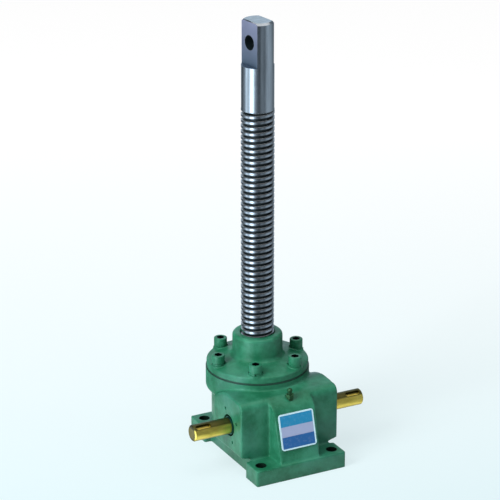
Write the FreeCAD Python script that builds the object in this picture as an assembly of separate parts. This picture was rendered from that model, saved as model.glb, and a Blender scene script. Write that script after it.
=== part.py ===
import FreeCAD, Part
import math
import os

# A worm screw jack: a worm shaft turns a bronze wheel, and the wheel is the nut that
# raises a trapezoidal lifting screw through a flanged cast housing.
# Millimetres, +Z up, origin at the centre of the base, on its underside.
# The worm axis runs along X in front of the origin, the screw axis stands behind it.

Vector = FreeCAD.Vector
UP = Vector(0, 0, 1)
ALONG_X = Vector(1, 0, 0)

# Worm gearing
gear_module = 3.0
worm_diameter_factor = 10.0
wheel_teeth = 24
pressure_angle = 20.0
tip_clearance = 0.6
worm_thread_thickness = 3.7
wheel_tooth_thickness = 4.7
worm_thread_length = 42.0
wheel_face_width = 26.0
wheel_outer_radius = 40.5
wheel_edge_chamfer = 1.5
worm_axis_height = 56.0

# Lifting screw
screw_major_d = 40.0
screw_bore_clearance = 0.1
screw_foot_chamfer = 3.0
screw_runout_height = 1.0
screw_bottom_height = 8.0
screw_top_height = 538.0
screw_top_chamfer = 2.5
screw_plain_length = 107.0
screw_plain_d = 39.2
end_flat_distance = 24.0
end_flat_length = 54.0
end_turn_angle = 8.0
cross_hole_d = 18.0
cross_hole_below_top = 26.0

# Base and feet
base_depth = 178.0
foot_width = 120.0
foot_thickness = 20.0
front_foot_length = 25.0
back_foot_length = 39.5
foot_corner_radius = 4.0
foot_edge_chamfer = 1.5
base_hole_side_margin = 12.0
base_hole_end_margin = 14.0
base_hole_d = 13.0

# Cast body
body_half_width = 51.0
body_radius = 56.0
worm_case_length = 131.0
worm_case_front = 32.5
worm_case_back = 40.0
worm_case_top = 95.0
worm_case_shoulder_height = 85.0
worm_case_corner_radius = 9.0
worm_case_crown_rise = 1.0
worm_case_back_height = 80.0
worm_case_edge_chamfer = 1.5
worm_case_underside = 25.0
body_underside = 21.5
foot_to_body_rise = 2.0
web_root_half_width = 29.0
web_front_half_width = 26.0
web_slope_angle = 15.5
web_face_reach = 51.2
web_face_height = 57.2
web_crown_height = 93.0
web_swell_forward = 1.5
web_swell_up = 2.5

# Body flange and top cover
flange_d = 126.0
flange_underside = 78.5
flange_top = 102.5
gasket_thickness = 0.8
cover_d = 124.0
cover_rim_thickness = 8.0
cover_edge_chamfer = 2.0
cover_cone_height = 7.0
neck_d = 61.0
neck_top_height = 146.5
neck_edge_radius = 4.0
neck_root_radius = 5.0
neck_guard = 1.0
cover_screw_count = 6
cover_screw_circle_d = 107.0
cover_screw_seat_rise = 10.2
cover_screw_seat_d = 18.0
cover_screw_d = 10.0
cover_screw_head_d = 16.0
cover_screw_head_height = 10.0
cover_screw_socket = 8.0
cover_screw_socket_depth = 5.0
cover_screw_length = 30.0
spring_washer_thickness = 2.5
spring_washer_d = 16.0
spring_washer_slit = 1.5
cover_screw_hole_clearance = 0.5

# Wheel chamber and thrust bearings
chamber_clearance = 2.5
wheel_hub_d = 50.0
hub_end_gap = 1.5
thrust_bearing_d = 70.0
thrust_bearing_height = 14.0
thrust_housing_bore = 52.0
thrust_washer_thickness = 4.0
thrust_roller_length = 7.0
thrust_roller_count = 10
thrust_cage_thickness = 3.6
thrust_cage_wall = 0.8
thrust_seat_depth = 3.0
race_clearance = 0.1
thrust_shaft_washer_inset = 0.5
thread_root_overlap = 0.4
blank_overlap = 0.5
same_place = 0.01

# Guide bushes
bush_d = 48.0
bush_length = 36.0
base_bush_length = 20.0
base_bush_recess = 2.0
bore_mouth_clearance = 1.0
bush_above_bearing = 11.5

# Worm shaft and its bearings
shaft_end_d = 20.0
shaft_length = 230.0
shaft_end_chamfer = 1.0
shaft_seal_d = 22.0
shaft_collar_d = 30.0
shaft_collar_taper = 2.0
bearing_bore = 25.0
bearing_d = 47.0
bearing_width = 15.0
taper_angle = 12.0
taper_roller_angle = 1.8
taper_roller_length = 9.0
taper_roller_count = 8
taper_roller_circle_d = 35.8
taper_big_rib_d = 36.0
taper_big_rib_width = 2.3
taper_small_rib_d = 30.4
taper_small_rib_width = 2.8
taper_cage_thickness = 1.2
taper_cage_width = 12.2
pocket_clearance = 0.1
keyway_width = 6.0
keyway_depth = 3.5
keyway_length = 20.0
keyway_end_gap = 3.0
keyway_turn_angle = 30.0

# Bearing caps and oil seals
cap_d = 50.0
cap_length = 14.0
cap_mouth_d = 27.0
cap_pin_hole_d = 4.0
cap_pin_hole_depth = 4.0
cap_pin_circle_d = 42.0
cap_pin_count = 4
cap_pin_start_angle = 65.0
seal_d = 35.0
seal_width = 7.0
seal_shaft_clearance = 0.1

# Grease nipple and nameplate
nipple_thread_d = 8.0
nipple_thread_length = 8.0
nipple_hex = 9.0
nipple_hex_height = 4.0
nipple_neck_d = 5.0
nipple_neck_height = 3.5
nipple_head_d = 6.5
nipple_head_height = 4.0
nipple_head_land = 1.0
nipple_tip_d = 3.5
nipple_spot_face_d = 11.7
nipple_spot_depth = 1.0
nipple_reach = 32.0
plate_width = 47.0
plate_height = 44.0
plate_thickness = 0.8
plate_corner_radius = 3.5

# Worked out from the sizes above
worm_pitch_r = gear_module * worm_diameter_factor / 2
wheel_pitch_r = gear_module * wheel_teeth / 2
centre_distance = worm_pitch_r + wheel_pitch_r
axial_pitch = math.pi * gear_module
worm_tip_r = worm_pitch_r + gear_module
worm_root_r = worm_pitch_r - gear_module - tip_clearance
wheel_root_r = wheel_pitch_r - gear_module - tip_clearance
worm_y = -centre_distance / 2
screw_y = centre_distance / 2
half_base = base_depth / 2
base_hole_x = foot_width / 2 - base_hole_side_margin
base_hole_y = half_base - base_hole_end_margin
half_case = worm_case_length / 2
case_front_y = worm_y - worm_case_front
case_back_y = worm_y + worm_case_back
chamber_r = wheel_outer_radius + chamber_clearance
wheel_bottom = worm_axis_height - wheel_face_width / 2
wheel_top = worm_axis_height + wheel_face_width / 2
lower_seat = wheel_bottom - thrust_bearing_height
upper_seat = wheel_top + thrust_bearing_height
cover_bottom = flange_top + gasket_thickness
cover_screw_seat_height = cover_bottom + cover_screw_seat_rise
neck_bush_bottom = upper_seat + bush_above_bearing
screw_bore_r = screw_major_d / 2 + screw_bore_clearance
bearing_outer_x = half_case - cap_length
bearing_inner_x = bearing_outer_x - bearing_width
screw_axis_foot = Vector(0, screw_y, 0)


def cylinder(radius, bottom, top, centre=screw_axis_foot):
    """A cylinder standing between two heights."""
    return Part.makeCylinder(radius, top - bottom, Vector(centre.x, centre.y, bottom), UP)


def cylinder_x(radius, start, end):
    """A cylinder about the worm axis between two X positions."""
    return Part.makeCylinder(radius, end - start, Vector(start, worm_y, worm_axis_height), ALONG_X)


def box(x_size, y_start, y_end, bottom, top):
    """A box centred on X."""
    corner = Vector(-x_size / 2, y_start, bottom)
    return Part.makeBox(x_size, y_end - y_start, top - bottom, corner)


def face_of(points):
    """A flat face bounded by straight lines."""
    return Part.Face(Part.makePolygon(points + points[:1]))


def rounded_corner(before, corner, after, radius):
    """The two ends and the middle of the arc that rounds one corner of an outline."""
    back = (before - corner).normalize()
    ahead = (after - corner).normalize()
    half_angle = back.getAngle(ahead) / 2
    run = radius / math.tan(half_angle)
    inward = (back + ahead).normalize()
    middle = corner + inward * (radius / math.sin(half_angle) - radius)
    return corner + back * run, middle, corner + ahead * run


def turned(outline, centre=screw_axis_foot):
    """A solid of revolution from (radius, height) corners; a third number rounds a corner."""
    corners = [Vector(centre.x + corner[0], centre.y, corner[1]) for corner in outline]
    radii = [corner[2] if len(corner) > 2 else 0 for corner in outline]
    starts, ends, edges = [], [], []
    for number, radius in enumerate(radii):
        corner = corners[number]
        start, end = corner, corner
        if radius:
            after = corners[(number + 1) % len(corners)]
            start, middle, end = rounded_corner(corners[number - 1], corner, after, radius)
            edges.append(Part.Arc(start, middle, end).toShape())
        starts.append(start)
        ends.append(end)
    for number, end in enumerate(ends):
        edges.append(Part.makeLine(end, starts[(number + 1) % len(starts)]))
    outline_wire = Part.Wire(Part.__sortEdges__(edges))
    return Part.Face(outline_wire).revolve(centre, UP, 360)


def about_worm(shape):
    """Lays a shape built about the Z axis along the worm axis, Z becoming X."""
    laid = shape.copy()
    laid.rotate(Vector(0, 0, 0), Vector(0, 1, 0), 90)
    laid.translate(Vector(0, worm_y, worm_axis_height))
    return laid


def ring(inner, outer, bottom, top, centre=screw_axis_foot):
    """A plain ring about a standing axis."""
    return cylinder(outer, bottom, top, centre).cut(cylinder(inner, bottom, top, centre))


def upright_edges(shape):
    """The straight edges that run along Z."""
    found = []
    for edge in shape.Edges:
        first, last = edge.Vertexes[0].Point, edge.Vertexes[-1].Point
        if abs(first.x - last.x) < same_place and abs(first.y - last.y) < same_place:
            found.append(edge)
    return found


def edges_at_height(shape, height):
    """The edges that lie in one level plane."""
    found = []
    for edge in shape.Edges:
        bounds = edge.BoundBox
        if abs(bounds.ZMin - height) < same_place and abs(bounds.ZMax - height) < same_place:
            found.append(edge)
    return found


def spaced(count, radius, start_angle=0.0):
    """(angle, x, y) of points spaced evenly round a circle."""
    step = 360.0 / count
    angles = [start_angle + step * number for number in range(count)]
    return [
        (angle, radius * math.cos(math.radians(angle)), radius * math.sin(math.radians(angle)))
        for angle in angles
    ]


def foot(length, y_start, y_end):
    """One foot flange of the base, with rounded corners and a broken top edge."""
    plate = box(foot_width, y_start, y_end, 0, foot_thickness)
    plate = plate.makeFillet(foot_corner_radius, upright_edges(plate))
    return plate.makeChamfer(foot_edge_chamfer, edges_at_height(plate, foot_thickness))


def worm_case():
    """The barrel across the front, arched on top, that holds the worm shaft."""
    front_corner = Vector(0, case_front_y, worm_case_shoulder_height)
    crown_start_height = worm_case_top - worm_case_crown_rise
    crown_start = Vector(0, case_front_y + worm_case_corner_radius, crown_start_height)
    bulge = worm_case_corner_radius * (1 - math.sqrt(0.5))
    corner_middle = Vector(0, case_front_y + bulge, crown_start.z - bulge)
    crown = Vector(0, worm_y, worm_case_top)
    back_top = Vector(0, case_back_y, worm_case_back_height)
    back_drop = worm_case_top - worm_case_back_height
    back_middle = Vector(0, (worm_y + case_back_y) / 2, worm_case_top - back_drop / 4)
    front_foot = Vector(0, case_front_y, body_underside)
    back_foot = Vector(0, case_back_y, body_underside)
    outline = Part.Wire(
        [
            Part.makeLine(front_foot, front_corner),
            Part.Arc(front_corner, corner_middle, crown_start).toShape(),
            Part.makeLine(crown_start, crown),
            Part.Arc(crown, back_middle, back_top).toShape(),
            Part.makeLine(back_top, back_foot),
            Part.makeLine(back_foot, front_foot),
        ]
    )
    barrel = Part.Face(outline).extrude(Vector(worm_case_length, 0, 0))
    barrel.translate(Vector(-half_case, 0, 0))
    front_view = face_of(
        [
            Vector(-half_case, case_front_y, worm_case_underside),
            Vector(-body_half_width, case_front_y, body_underside),
            Vector(body_half_width, case_front_y, body_underside),
            Vector(half_case, case_front_y, worm_case_underside),
            Vector(half_case, case_front_y, worm_case_top),
            Vector(-half_case, case_front_y, worm_case_top),
        ]
    ).extrude(Vector(0, worm_case_front + worm_case_back, 0))
    barrel = barrel.common(front_view)
    end_edges = [
        edge
        for edge in barrel.Edges
        if abs(abs(edge.BoundBox.Center.x) - half_case) < same_place
    ]
    return barrel.makeChamfer(worm_case_edge_chamfer, end_edges)


def front_web():
    """The sloping web under the middle of the barrel that carries the nameplate."""
    slope = math.tan(math.radians(web_slope_angle))
    face_y = -web_face_reach - centre_distance / 2
    lower_y = face_y - slope * (web_face_height - foot_thickness)
    shoulder_height = web_face_height + plate_height / 2
    shoulder = Vector(0, face_y + slope * (shoulder_height - web_face_height), shoulder_height)
    crown = Vector(0, case_front_y + worm_case_corner_radius, web_crown_height)
    middle = (shoulder + crown) / 2 + Vector(0, -web_swell_forward, web_swell_up)
    lower = Vector(0, lower_y, foot_thickness)
    inner_low = Vector(0, worm_y, foot_thickness)
    inner_high = Vector(0, worm_y, web_crown_height)
    outline = Part.Wire(
        [
            Part.makeLine(inner_low, lower),
            Part.makeLine(lower, shoulder),
            Part.Arc(shoulder, middle, crown).toShape(),
            Part.makeLine(crown, inner_high),
            Part.makeLine(inner_high, inner_low),
        ]
    )
    block = Part.Face(outline).extrude(Vector(2 * web_root_half_width, 0, 0))
    block.translate(Vector(-web_root_half_width, 0, 0))
    plan = face_of(
        [
            Vector(-web_front_half_width, lower_y, foot_thickness),
            Vector(web_front_half_width, lower_y, foot_thickness),
            Vector(web_root_half_width, case_front_y, foot_thickness),
            Vector(web_root_half_width, worm_y, foot_thickness),
            Vector(-web_root_half_width, worm_y, foot_thickness),
            Vector(-web_root_half_width, case_front_y, foot_thickness),
        ]
    ).extrude(Vector(0, 0, web_crown_height))
    return block.common(plan)


def housing():
    """The cast body: two feet, lower box, worm barrel, round body with its flange, bored out."""
    front = foot(front_foot_length, -half_base, -half_base + front_foot_length)
    back = foot(back_foot_length, half_base - back_foot_length, half_base)
    floor_end = half_base - 2 * foot_corner_radius
    floor = box(2 * body_half_width, -floor_end, floor_end, 0, foot_thickness)
    lower_box = box(2 * body_half_width, case_front_y, screw_y, 0, worm_axis_height)
    flange_step = (flange_d / 2) - body_radius
    round_body = turned(
        [
            (0, 0),
            (body_half_width, 0),
            (body_half_width, foot_thickness),
            (body_radius, foot_thickness + foot_to_body_rise),
            (body_radius, flange_underside - flange_step),
            (flange_d / 2, flange_underside),
            (flange_d / 2, flange_top),
            (0, flange_top),
        ]
    )
    body = front.multiFuse([back, floor, lower_box, round_body, worm_case(), front_web()])
    body = body.removeSplitter()

    bush_top = base_bush_recess + base_bush_length
    mouth_r = screw_bore_r + bore_mouth_clearance
    chamber = turned(
        [
            (0, 0),
            (bush_d / 2, 0),
            (bush_d / 2, bush_top),
            (mouth_r, bush_top),
            (mouth_r, lower_seat),
            (thrust_bearing_d / 2, lower_seat),
            (thrust_bearing_d / 2, wheel_bottom - thrust_seat_depth),
            (chamber_r, wheel_bottom - thrust_seat_depth),
            (chamber_r, flange_top),
            (0, flange_top),
        ]
    )
    bores = [chamber, cylinder_x(bearing_d / 2, -half_case, half_case)]
    bores.append(cylinder_x(cap_d / 2, bearing_outer_x, half_case))
    bores.append(cylinder_x(cap_d / 2, -half_case, -bearing_outer_x))
    for x in (-base_hole_x, base_hole_x):
        for y in (-base_hole_y, base_hole_y):
            bores.append(cylinder(base_hole_d / 2, 0, foot_thickness, Vector(x, y, 0)))
    for angle, x, y in spaced(cover_screw_count, cover_screw_circle_d / 2):
        centre = Vector(x, screw_y + y, 0)
        bottom = cover_screw_seat_height + spring_washer_thickness - cover_screw_length
        bores.append(cylinder(cover_screw_d / 2, bottom, flange_top, centre))
    bores.append(nipple_hole())
    return body.cut(Part.makeCompound(bores))


def nipple_centre():
    """Where the grease nipple stands on the crown of the web."""
    return Vector(0, worm_y - nipple_reach, 0)


def nipple_seat():
    """The height of the nipple's spot face."""
    return web_crown_height - nipple_spot_depth


def nipple_hole():
    """The tapped hole for the grease nipple and its small spot face."""
    centre = nipple_centre()
    seat = nipple_seat()
    hole = cylinder(nipple_thread_d / 2, seat - nipple_thread_length, seat, centre)
    spot_face = cylinder(nipple_spot_face_d / 2, seat, worm_case_top + nipple_spot_depth, centre)
    return hole.fuse(spot_face)


def top_cover():
    """The bolted cover: spigot, coned disc, tall neck and the screw seats."""
    rim_top = cover_bottom + cover_rim_thickness
    cone_foot_r = neck_d / 2
    bush_top = neck_bush_bottom + bush_length
    mouth_r = screw_bore_r + bore_mouth_clearance / 2
    spigot_bottom = upper_seat - thrust_seat_depth
    body = turned(
        [
            (0, spigot_bottom),
            (chamber_r, spigot_bottom),
            (chamber_r, cover_bottom),
            (cover_d / 2, cover_bottom),
            (cover_d / 2, rim_top - cover_edge_chamfer),
            (cover_d / 2 - cover_edge_chamfer, rim_top),
            (cone_foot_r, rim_top + cover_cone_height, neck_root_radius),
            (cone_foot_r, neck_top_height, neck_edge_radius),
            (0, neck_top_height),
        ]
    )
    disc = cylinder(cover_d / 2, cover_bottom, cover_screw_seat_height)
    seats = []
    cuts = []
    for angle, x, y in spaced(cover_screw_count, cover_screw_circle_d / 2):
        centre = Vector(x, screw_y + y, 0)
        seat = cylinder(cover_screw_seat_d / 2, cover_bottom, cover_screw_seat_height, centre)
        seats.append(seat.common(disc))
        hole_r = cover_screw_d / 2 + cover_screw_hole_clearance
        cuts.append(cylinder(hole_r, cover_bottom, cover_screw_seat_height, centre))
        cuts.append(cylinder(cover_screw_seat_d / 2, cover_screw_seat_height, neck_top_height, centre))
    body = body.multiFuse(seats)
    bore = turned(
        [
            (0, spigot_bottom),
            (thrust_bearing_d / 2, spigot_bottom),
            (thrust_bearing_d / 2, upper_seat),
            (bush_d / 2, upper_seat),
            (bush_d / 2, bush_top),
            (mouth_r, bush_top),
            (mouth_r, neck_top_height),
            (0, neck_top_height),
        ]
    )
    kept_neck = cylinder(neck_d / 2 + neck_guard, cover_bottom, neck_top_height)
    cuts = [cut.cut(kept_neck) for cut in cuts]
    return body.cut(Part.makeCompound(cuts)).cut(bore)


def cover_gasket():
    """The flat gasket between body flange and cover."""
    gasket = ring(chamber_r, cover_d / 2, flange_top, cover_bottom)
    holes = []
    for angle, x, y in spaced(cover_screw_count, cover_screw_circle_d / 2):
        hole_r = cover_screw_d / 2 + cover_screw_hole_clearance
        holes.append(cylinder(hole_r, flange_top, cover_bottom, Vector(x, screw_y + y, 0)))
    return gasket.cut(Part.makeCompound(holes))


def hexagon(across_flats, bottom, top, centre):
    """A standing hexagonal prism."""
    radius = across_flats / math.sqrt(3)
    points = [Vector(centre.x + x, centre.y + y, bottom) for angle, x, y in spaced(6, radius)]
    return face_of(points).extrude(Vector(0, 0, top - bottom))


def cover_screws():
    """Six socket head cap screws."""
    under_head = cover_screw_seat_height + spring_washer_thickness
    top = under_head + cover_screw_head_height
    screws = []
    for angle, x, y in spaced(cover_screw_count, cover_screw_circle_d / 2):
        centre = Vector(x, screw_y + y, 0)
        head = cylinder(cover_screw_head_d / 2, under_head, top, centre)
        shank = cylinder(cover_screw_d / 2, under_head - cover_screw_length, under_head, centre)
        socket = hexagon(cover_screw_socket, top - cover_screw_socket_depth, top, centre)
        screws.append(head.fuse(shank).cut(socket))
    return Part.makeCompound(screws)


def cover_spring_washers():
    """Six split spring washers under the screw heads."""
    bottom = cover_screw_seat_height
    top = bottom + spring_washer_thickness
    washers = []
    for angle, x, y in spaced(cover_screw_count, cover_screw_circle_d / 2):
        centre = Vector(x, screw_y + y, 0)
        inner = cover_screw_d / 2 + cover_screw_hole_clearance / 2
        washer = ring(inner, spring_washer_d / 2, bottom, top, centre)
        slit = Part.makeBox(
            spring_washer_d, spring_washer_slit, spring_washer_thickness,
            Vector(centre.x, centre.y - spring_washer_slit / 2, bottom),
        )
        washers.append(washer.cut(slit))
    return Part.makeCompound(washers)


def lifting_screw():
    """The screw, drawn to its thread's crest, with the flatted and cross-drilled plain end."""
    plain_bottom = screw_top_height - screw_plain_length
    body = turned(
        [
            (0, screw_bottom_height),
            (screw_major_d / 2 - screw_foot_chamfer, screw_bottom_height),
            (screw_major_d / 2, screw_bottom_height + screw_foot_chamfer),
            (screw_major_d / 2, plain_bottom - screw_runout_height),
            (screw_plain_d / 2, plain_bottom),
            (screw_plain_d / 2, screw_top_height - screw_top_chamfer),
            (screw_plain_d / 2 - screw_top_chamfer, screw_top_height),
            (0, screw_top_height),
        ]
    )
    flat_bottom = screw_top_height - end_flat_length
    outer = screw_major_d
    left = box(outer, -outer, -end_flat_distance / 2, flat_bottom, screw_top_height)
    right = box(outer, end_flat_distance / 2, outer, flat_bottom, screw_top_height)
    hole_height = screw_top_height - cross_hole_below_top
    hole = Part.makeCylinder(
        cross_hole_d / 2, 2 * outer, Vector(0, -outer, hole_height), Vector(0, 1, 0)
    )
    for cut in (left, right, hole):
        cut.rotate(Vector(0, 0, 0), UP, 90 + end_turn_angle)
        cut.translate(screw_axis_foot)
        body = body.cut(cut)
    return body


def involute_angle(radius, base_radius):
    """The involute function at a radius, in radians."""
    pressure = math.acos(min(1.0, base_radius / radius))
    return math.tan(pressure) - pressure


def wheel_outline(height, turn):
    """The wheel's tooth outline at one height, turned about the wheel axis."""
    base_radius = wheel_pitch_r * math.cos(math.radians(pressure_angle))
    outer = wheel_outer_radius + blank_overlap
    at_pitch = wheel_tooth_thickness / (2 * wheel_pitch_r)
    at_pitch += involute_angle(wheel_pitch_r, base_radius)

    def half_angle(radius):
        return at_pitch - involute_angle(radius, base_radius)

    def point(radius, angle):
        return Vector(radius * math.sin(angle), screw_y - radius * math.cos(angle), height)

    tooth_angle = 2 * math.pi / wheel_teeth
    middle_r = (base_radius + wheel_outer_radius) / 2
    edges = []
    for number in range(wheel_teeth):
        centre = (number + 0.5) * tooth_angle + turn
        next_root = centre + tooth_angle - half_angle(base_radius)
        rise = [(r, -half_angle(r)) for r in (wheel_root_r, base_radius, middle_r, outer)]
        fall = [(r, half_angle(r)) for r in (outer, middle_r, base_radius, wheel_root_r)]
        up = [point(r, centre + a) for r, a in rise]
        down = [point(r, centre + a) for r, a in fall]
        edges.append(Part.makeLine(up[0], up[1]))
        edges.append(Part.Arc(up[1], up[2], up[3]).toShape())
        edges.append(Part.makeLine(up[3], down[0]))
        edges.append(Part.Arc(down[0], down[1], down[2]).toShape())
        edges.append(Part.makeLine(down[2], down[3]))
        edges.append(Part.makeLine(down[3], point(wheel_root_r, next_root)))
    return Part.Wire(edges)


def worm_wheel():
    """The throated bronze wheel, whose hub is the nut of the lifting screw."""
    lead_slope = 1.0 / worm_diameter_factor
    turn = lead_slope * (wheel_face_width / 2) / wheel_pitch_r
    lower = wheel_outline(wheel_bottom, -turn)
    upper = wheel_outline(wheel_top, turn)
    teeth = Part.makeLoft([lower, upper], True, True)
    throat_r = worm_root_r + tip_clearance
    throat_height = math.sqrt(throat_r ** 2 - (centre_distance - wheel_outer_radius) ** 2)
    half_face = wheel_face_width / 2
    edge_r = wheel_outer_radius - wheel_edge_chamfer
    edge_height = half_face - wheel_edge_chamfer

    def rim(radius, height):
        return Vector(radius, screw_y, worm_axis_height + height)

    throat_low = rim(wheel_outer_radius, -throat_height)
    throat_high = rim(wheel_outer_radius, throat_height)
    section = Part.Wire(
        [
            Part.makeLine(rim(0, -half_face), rim(edge_r, -half_face)),
            Part.makeLine(rim(edge_r, -half_face), rim(wheel_outer_radius, -edge_height)),
            Part.makeLine(rim(wheel_outer_radius, -edge_height), throat_low),
            Part.Arc(throat_low, rim(centre_distance - throat_r, 0), throat_high).toShape(),
            Part.makeLine(throat_high, rim(wheel_outer_radius, edge_height)),
            Part.makeLine(rim(wheel_outer_radius, edge_height), rim(edge_r, half_face)),
            Part.makeLine(rim(edge_r, half_face), rim(0, half_face)),
            Part.makeLine(rim(0, half_face), rim(0, -half_face)),
        ]
    )
    blank = Part.Face(section).revolve(screw_axis_foot, UP, 360)
    teeth = teeth.common(blank)
    hub = cylinder(wheel_hub_d / 2, lower_seat + hub_end_gap, upper_seat - hub_end_gap)
    bore = cylinder(screw_bore_r, lower_seat, upper_seat)
    return teeth.fuse(hub).cut(bore)


def worm_thread():
    """The single-start right-hand worm thread, built about Z and centred at the origin."""
    flank = math.tan(math.radians(pressure_angle))
    sunk_r = worm_root_r - thread_root_overlap
    half_tip = worm_thread_thickness / 2 - flank * (worm_tip_r - worm_pitch_r)
    half_root = worm_thread_thickness / 2 + flank * (worm_pitch_r - sunk_r)
    start = -worm_thread_length / 2
    profile = Part.makePolygon(
        [
            Vector(sunk_r, 0, start - half_root),
            Vector(worm_tip_r, 0, start - half_tip),
            Vector(worm_tip_r, 0, start + half_tip),
            Vector(sunk_r, 0, start + half_root),
            Vector(sunk_r, 0, start - half_root),
        ]
    )
    helix = Part.makeHelix(axial_pitch, worm_thread_length, sunk_r)
    helix.translate(Vector(0, 0, start))
    thread = Part.Wire(helix).makePipeShell([profile], True, True)
    turn_to_wheel = 90 - 360 * (worm_thread_length / 2) / axial_pitch
    thread.rotate(Vector(0, 0, 0), UP, turn_to_wheel)
    return thread


def worm_shaft():
    """The double-ended worm shaft with collars, bearing seats and keyways."""
    thread_end = worm_thread_length / 2 + axial_pitch / 2
    half_shaft = shaft_length / 2
    half_outline = [
        (worm_root_r, thread_end),
        (shaft_collar_d / 2, thread_end + shaft_collar_taper),
        (shaft_collar_d / 2, bearing_inner_x),
        (bearing_bore / 2, bearing_inner_x),
        (bearing_bore / 2, bearing_outer_x),
        (shaft_seal_d / 2, bearing_outer_x),
        (shaft_seal_d / 2, half_case),
        (shaft_end_d / 2, half_case),
        (shaft_end_d / 2, half_shaft - shaft_end_chamfer),
        (shaft_end_d / 2 - shaft_end_chamfer, half_shaft),
    ]
    mirrored = [(r, -z) for r, z in reversed(half_outline)]
    outline = [(0, -half_shaft)] + mirrored + half_outline + [(0, half_shaft)]
    shaft = turned(outline, Vector(0, 0, 0))
    shaft = shaft.fuse(worm_thread())
    for side in (-1, 1):
        shaft = shaft.cut(keyway(side))
    return about_worm(shaft)


def keyway(side):
    """One round-ended keyway, turned forward from the shaft's upper side, built about Z."""
    half_width = keyway_width / 2
    outer_end = shaft_length / 2 - keyway_end_gap - half_width
    inner_end = shaft_length / 2 - keyway_end_gap - keyway_length + half_width
    floor_r = shaft_end_d / 2 - keyway_depth
    depth = 2 * keyway_depth
    start = Vector(-floor_r - depth, -half_width, inner_end)
    slot = Part.makeBox(depth, keyway_width, outer_end - inner_end, start)
    for end in (inner_end, outer_end):
        rounded = Part.makeCylinder(half_width, depth, Vector(-floor_r - depth, 0, end), ALONG_X)
        slot = slot.fuse(rounded)
    slot.rotate(Vector(0, 0, 0), UP, keyway_turn_angle)
    if side < 0:
        slot = slot.mirror(Vector(0, 0, 0), UP)
    return slot


def thrust_heights(seat, direction):
    """Heights of a thrust bearing: housing washer, shaft washer and roller plane."""
    step = direction * thrust_washer_thickness
    wheel_side = seat + direction * thrust_bearing_height
    housing_side = sorted((seat, seat + step))
    shaft_side = sorted((wheel_side, wheel_side - step))
    return housing_side, shaft_side, (seat + wheel_side) / 2


def thrust_roller_circle():
    """The mean radius on which the thrust rollers run."""
    return (wheel_hub_d + thrust_bearing_d) / 4


def thrust_housing_washer(seat, direction):
    """The thrust washer that stands still in the housing or the cover."""
    bottom, top = thrust_heights(seat, direction)[0]
    return ring(thrust_housing_bore / 2, thrust_bearing_d / 2, bottom, top)


def thrust_shaft_washer(seat, direction):
    """The thrust washer that turns with the wheel."""
    bottom, top = thrust_heights(seat, direction)[1]
    return ring(wheel_hub_d / 2, thrust_bearing_d / 2 - thrust_shaft_washer_inset, bottom, top)


def thrust_roller_radius():
    """Half of the gap between the washers, less the running clearance."""
    gap = thrust_bearing_height - 2 * thrust_washer_thickness
    return gap / 2 - race_clearance


def thrust_rollers(seat, direction):
    """The radial rollers of one thrust bearing."""
    middle = thrust_heights(seat, direction)[2]
    inner = thrust_roller_circle() - thrust_roller_length / 2
    rollers = []
    for angle, x, y in spaced(thrust_roller_count, inner):
        start = Vector(x, screw_y + y, middle)
        outward = Vector(x, y, 0)
        rollers.append(Part.makeCylinder(thrust_roller_radius(), thrust_roller_length, start, outward))
    return Part.makeCompound(rollers)


def thrust_cage(seat, direction):
    """The flat cage that spaces the thrust rollers."""
    middle = thrust_heights(seat, direction)[2]
    bottom = middle - thrust_cage_thickness / 2
    top = middle + thrust_cage_thickness / 2
    half_length = thrust_roller_length / 2 + pocket_clearance
    reach = half_length + thrust_cage_wall
    cage = ring(thrust_roller_circle() - reach, thrust_roller_circle() + reach, bottom, top)
    half_width = thrust_roller_radius() + pocket_clearance
    pockets = []
    for angle, x, y in spaced(thrust_roller_count, 1):
        corner = Vector(thrust_roller_circle() - half_length, screw_y - half_width, bottom)
        pocket = Part.makeBox(2 * half_length, 2 * half_width, thrust_cage_thickness, corner)
        pocket.rotate(screw_axis_foot, UP, angle)
        pockets.append(pocket)
    return cage.cut(Part.makeCompound(pockets))


def at_bearing(shape, side):
    """Places a worm bearing piece, built about Z with its wide end at the origin."""
    placed = about_worm(shape)
    placed.translate(Vector(bearing_inner_x, 0, 0))
    return placed if side > 0 else placed.mirror(Vector(0, 0, 0), ALONG_X)


def taper_apex():
    """Where the cones of a worm bearing meet on its axis, above its wide end."""
    rise = taper_roller_circle_d / 2 / math.tan(math.radians(taper_angle))
    return bearing_width / 2 + rise


def race_radius(angle, height):
    """The radius of a cone that shares the bearing's apex, at one height."""
    return (taper_apex() - height) * math.tan(math.radians(angle))


def bearing_outer_ring(side):
    """The tapered cup of one worm bearing."""
    angle = taper_angle + taper_roller_angle
    cup = turned(
        [
            (race_radius(angle, 0), 0),
            (bearing_d / 2, 0),
            (bearing_d / 2, bearing_width),
            (race_radius(angle, bearing_width), bearing_width),
        ],
        Vector(0, 0, 0),
    )
    return at_bearing(cup, side)


def bearing_inner_ring(side):
    """The tapered cone of one worm bearing, with its two ribs."""
    angle = taper_angle - taper_roller_angle
    small_rib = bearing_width - taper_small_rib_width
    cone = turned(
        [
            (bearing_bore / 2, 0),
            (taper_big_rib_d / 2, 0),
            (taper_big_rib_d / 2, taper_big_rib_width),
            (race_radius(angle, taper_big_rib_width), taper_big_rib_width),
            (race_radius(angle, small_rib), small_rib),
            (taper_small_rib_d / 2, small_rib),
            (taper_small_rib_d / 2, bearing_width),
            (bearing_bore / 2, bearing_width),
        ],
        Vector(0, 0, 0),
    )
    return at_bearing(cone, side)


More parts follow.
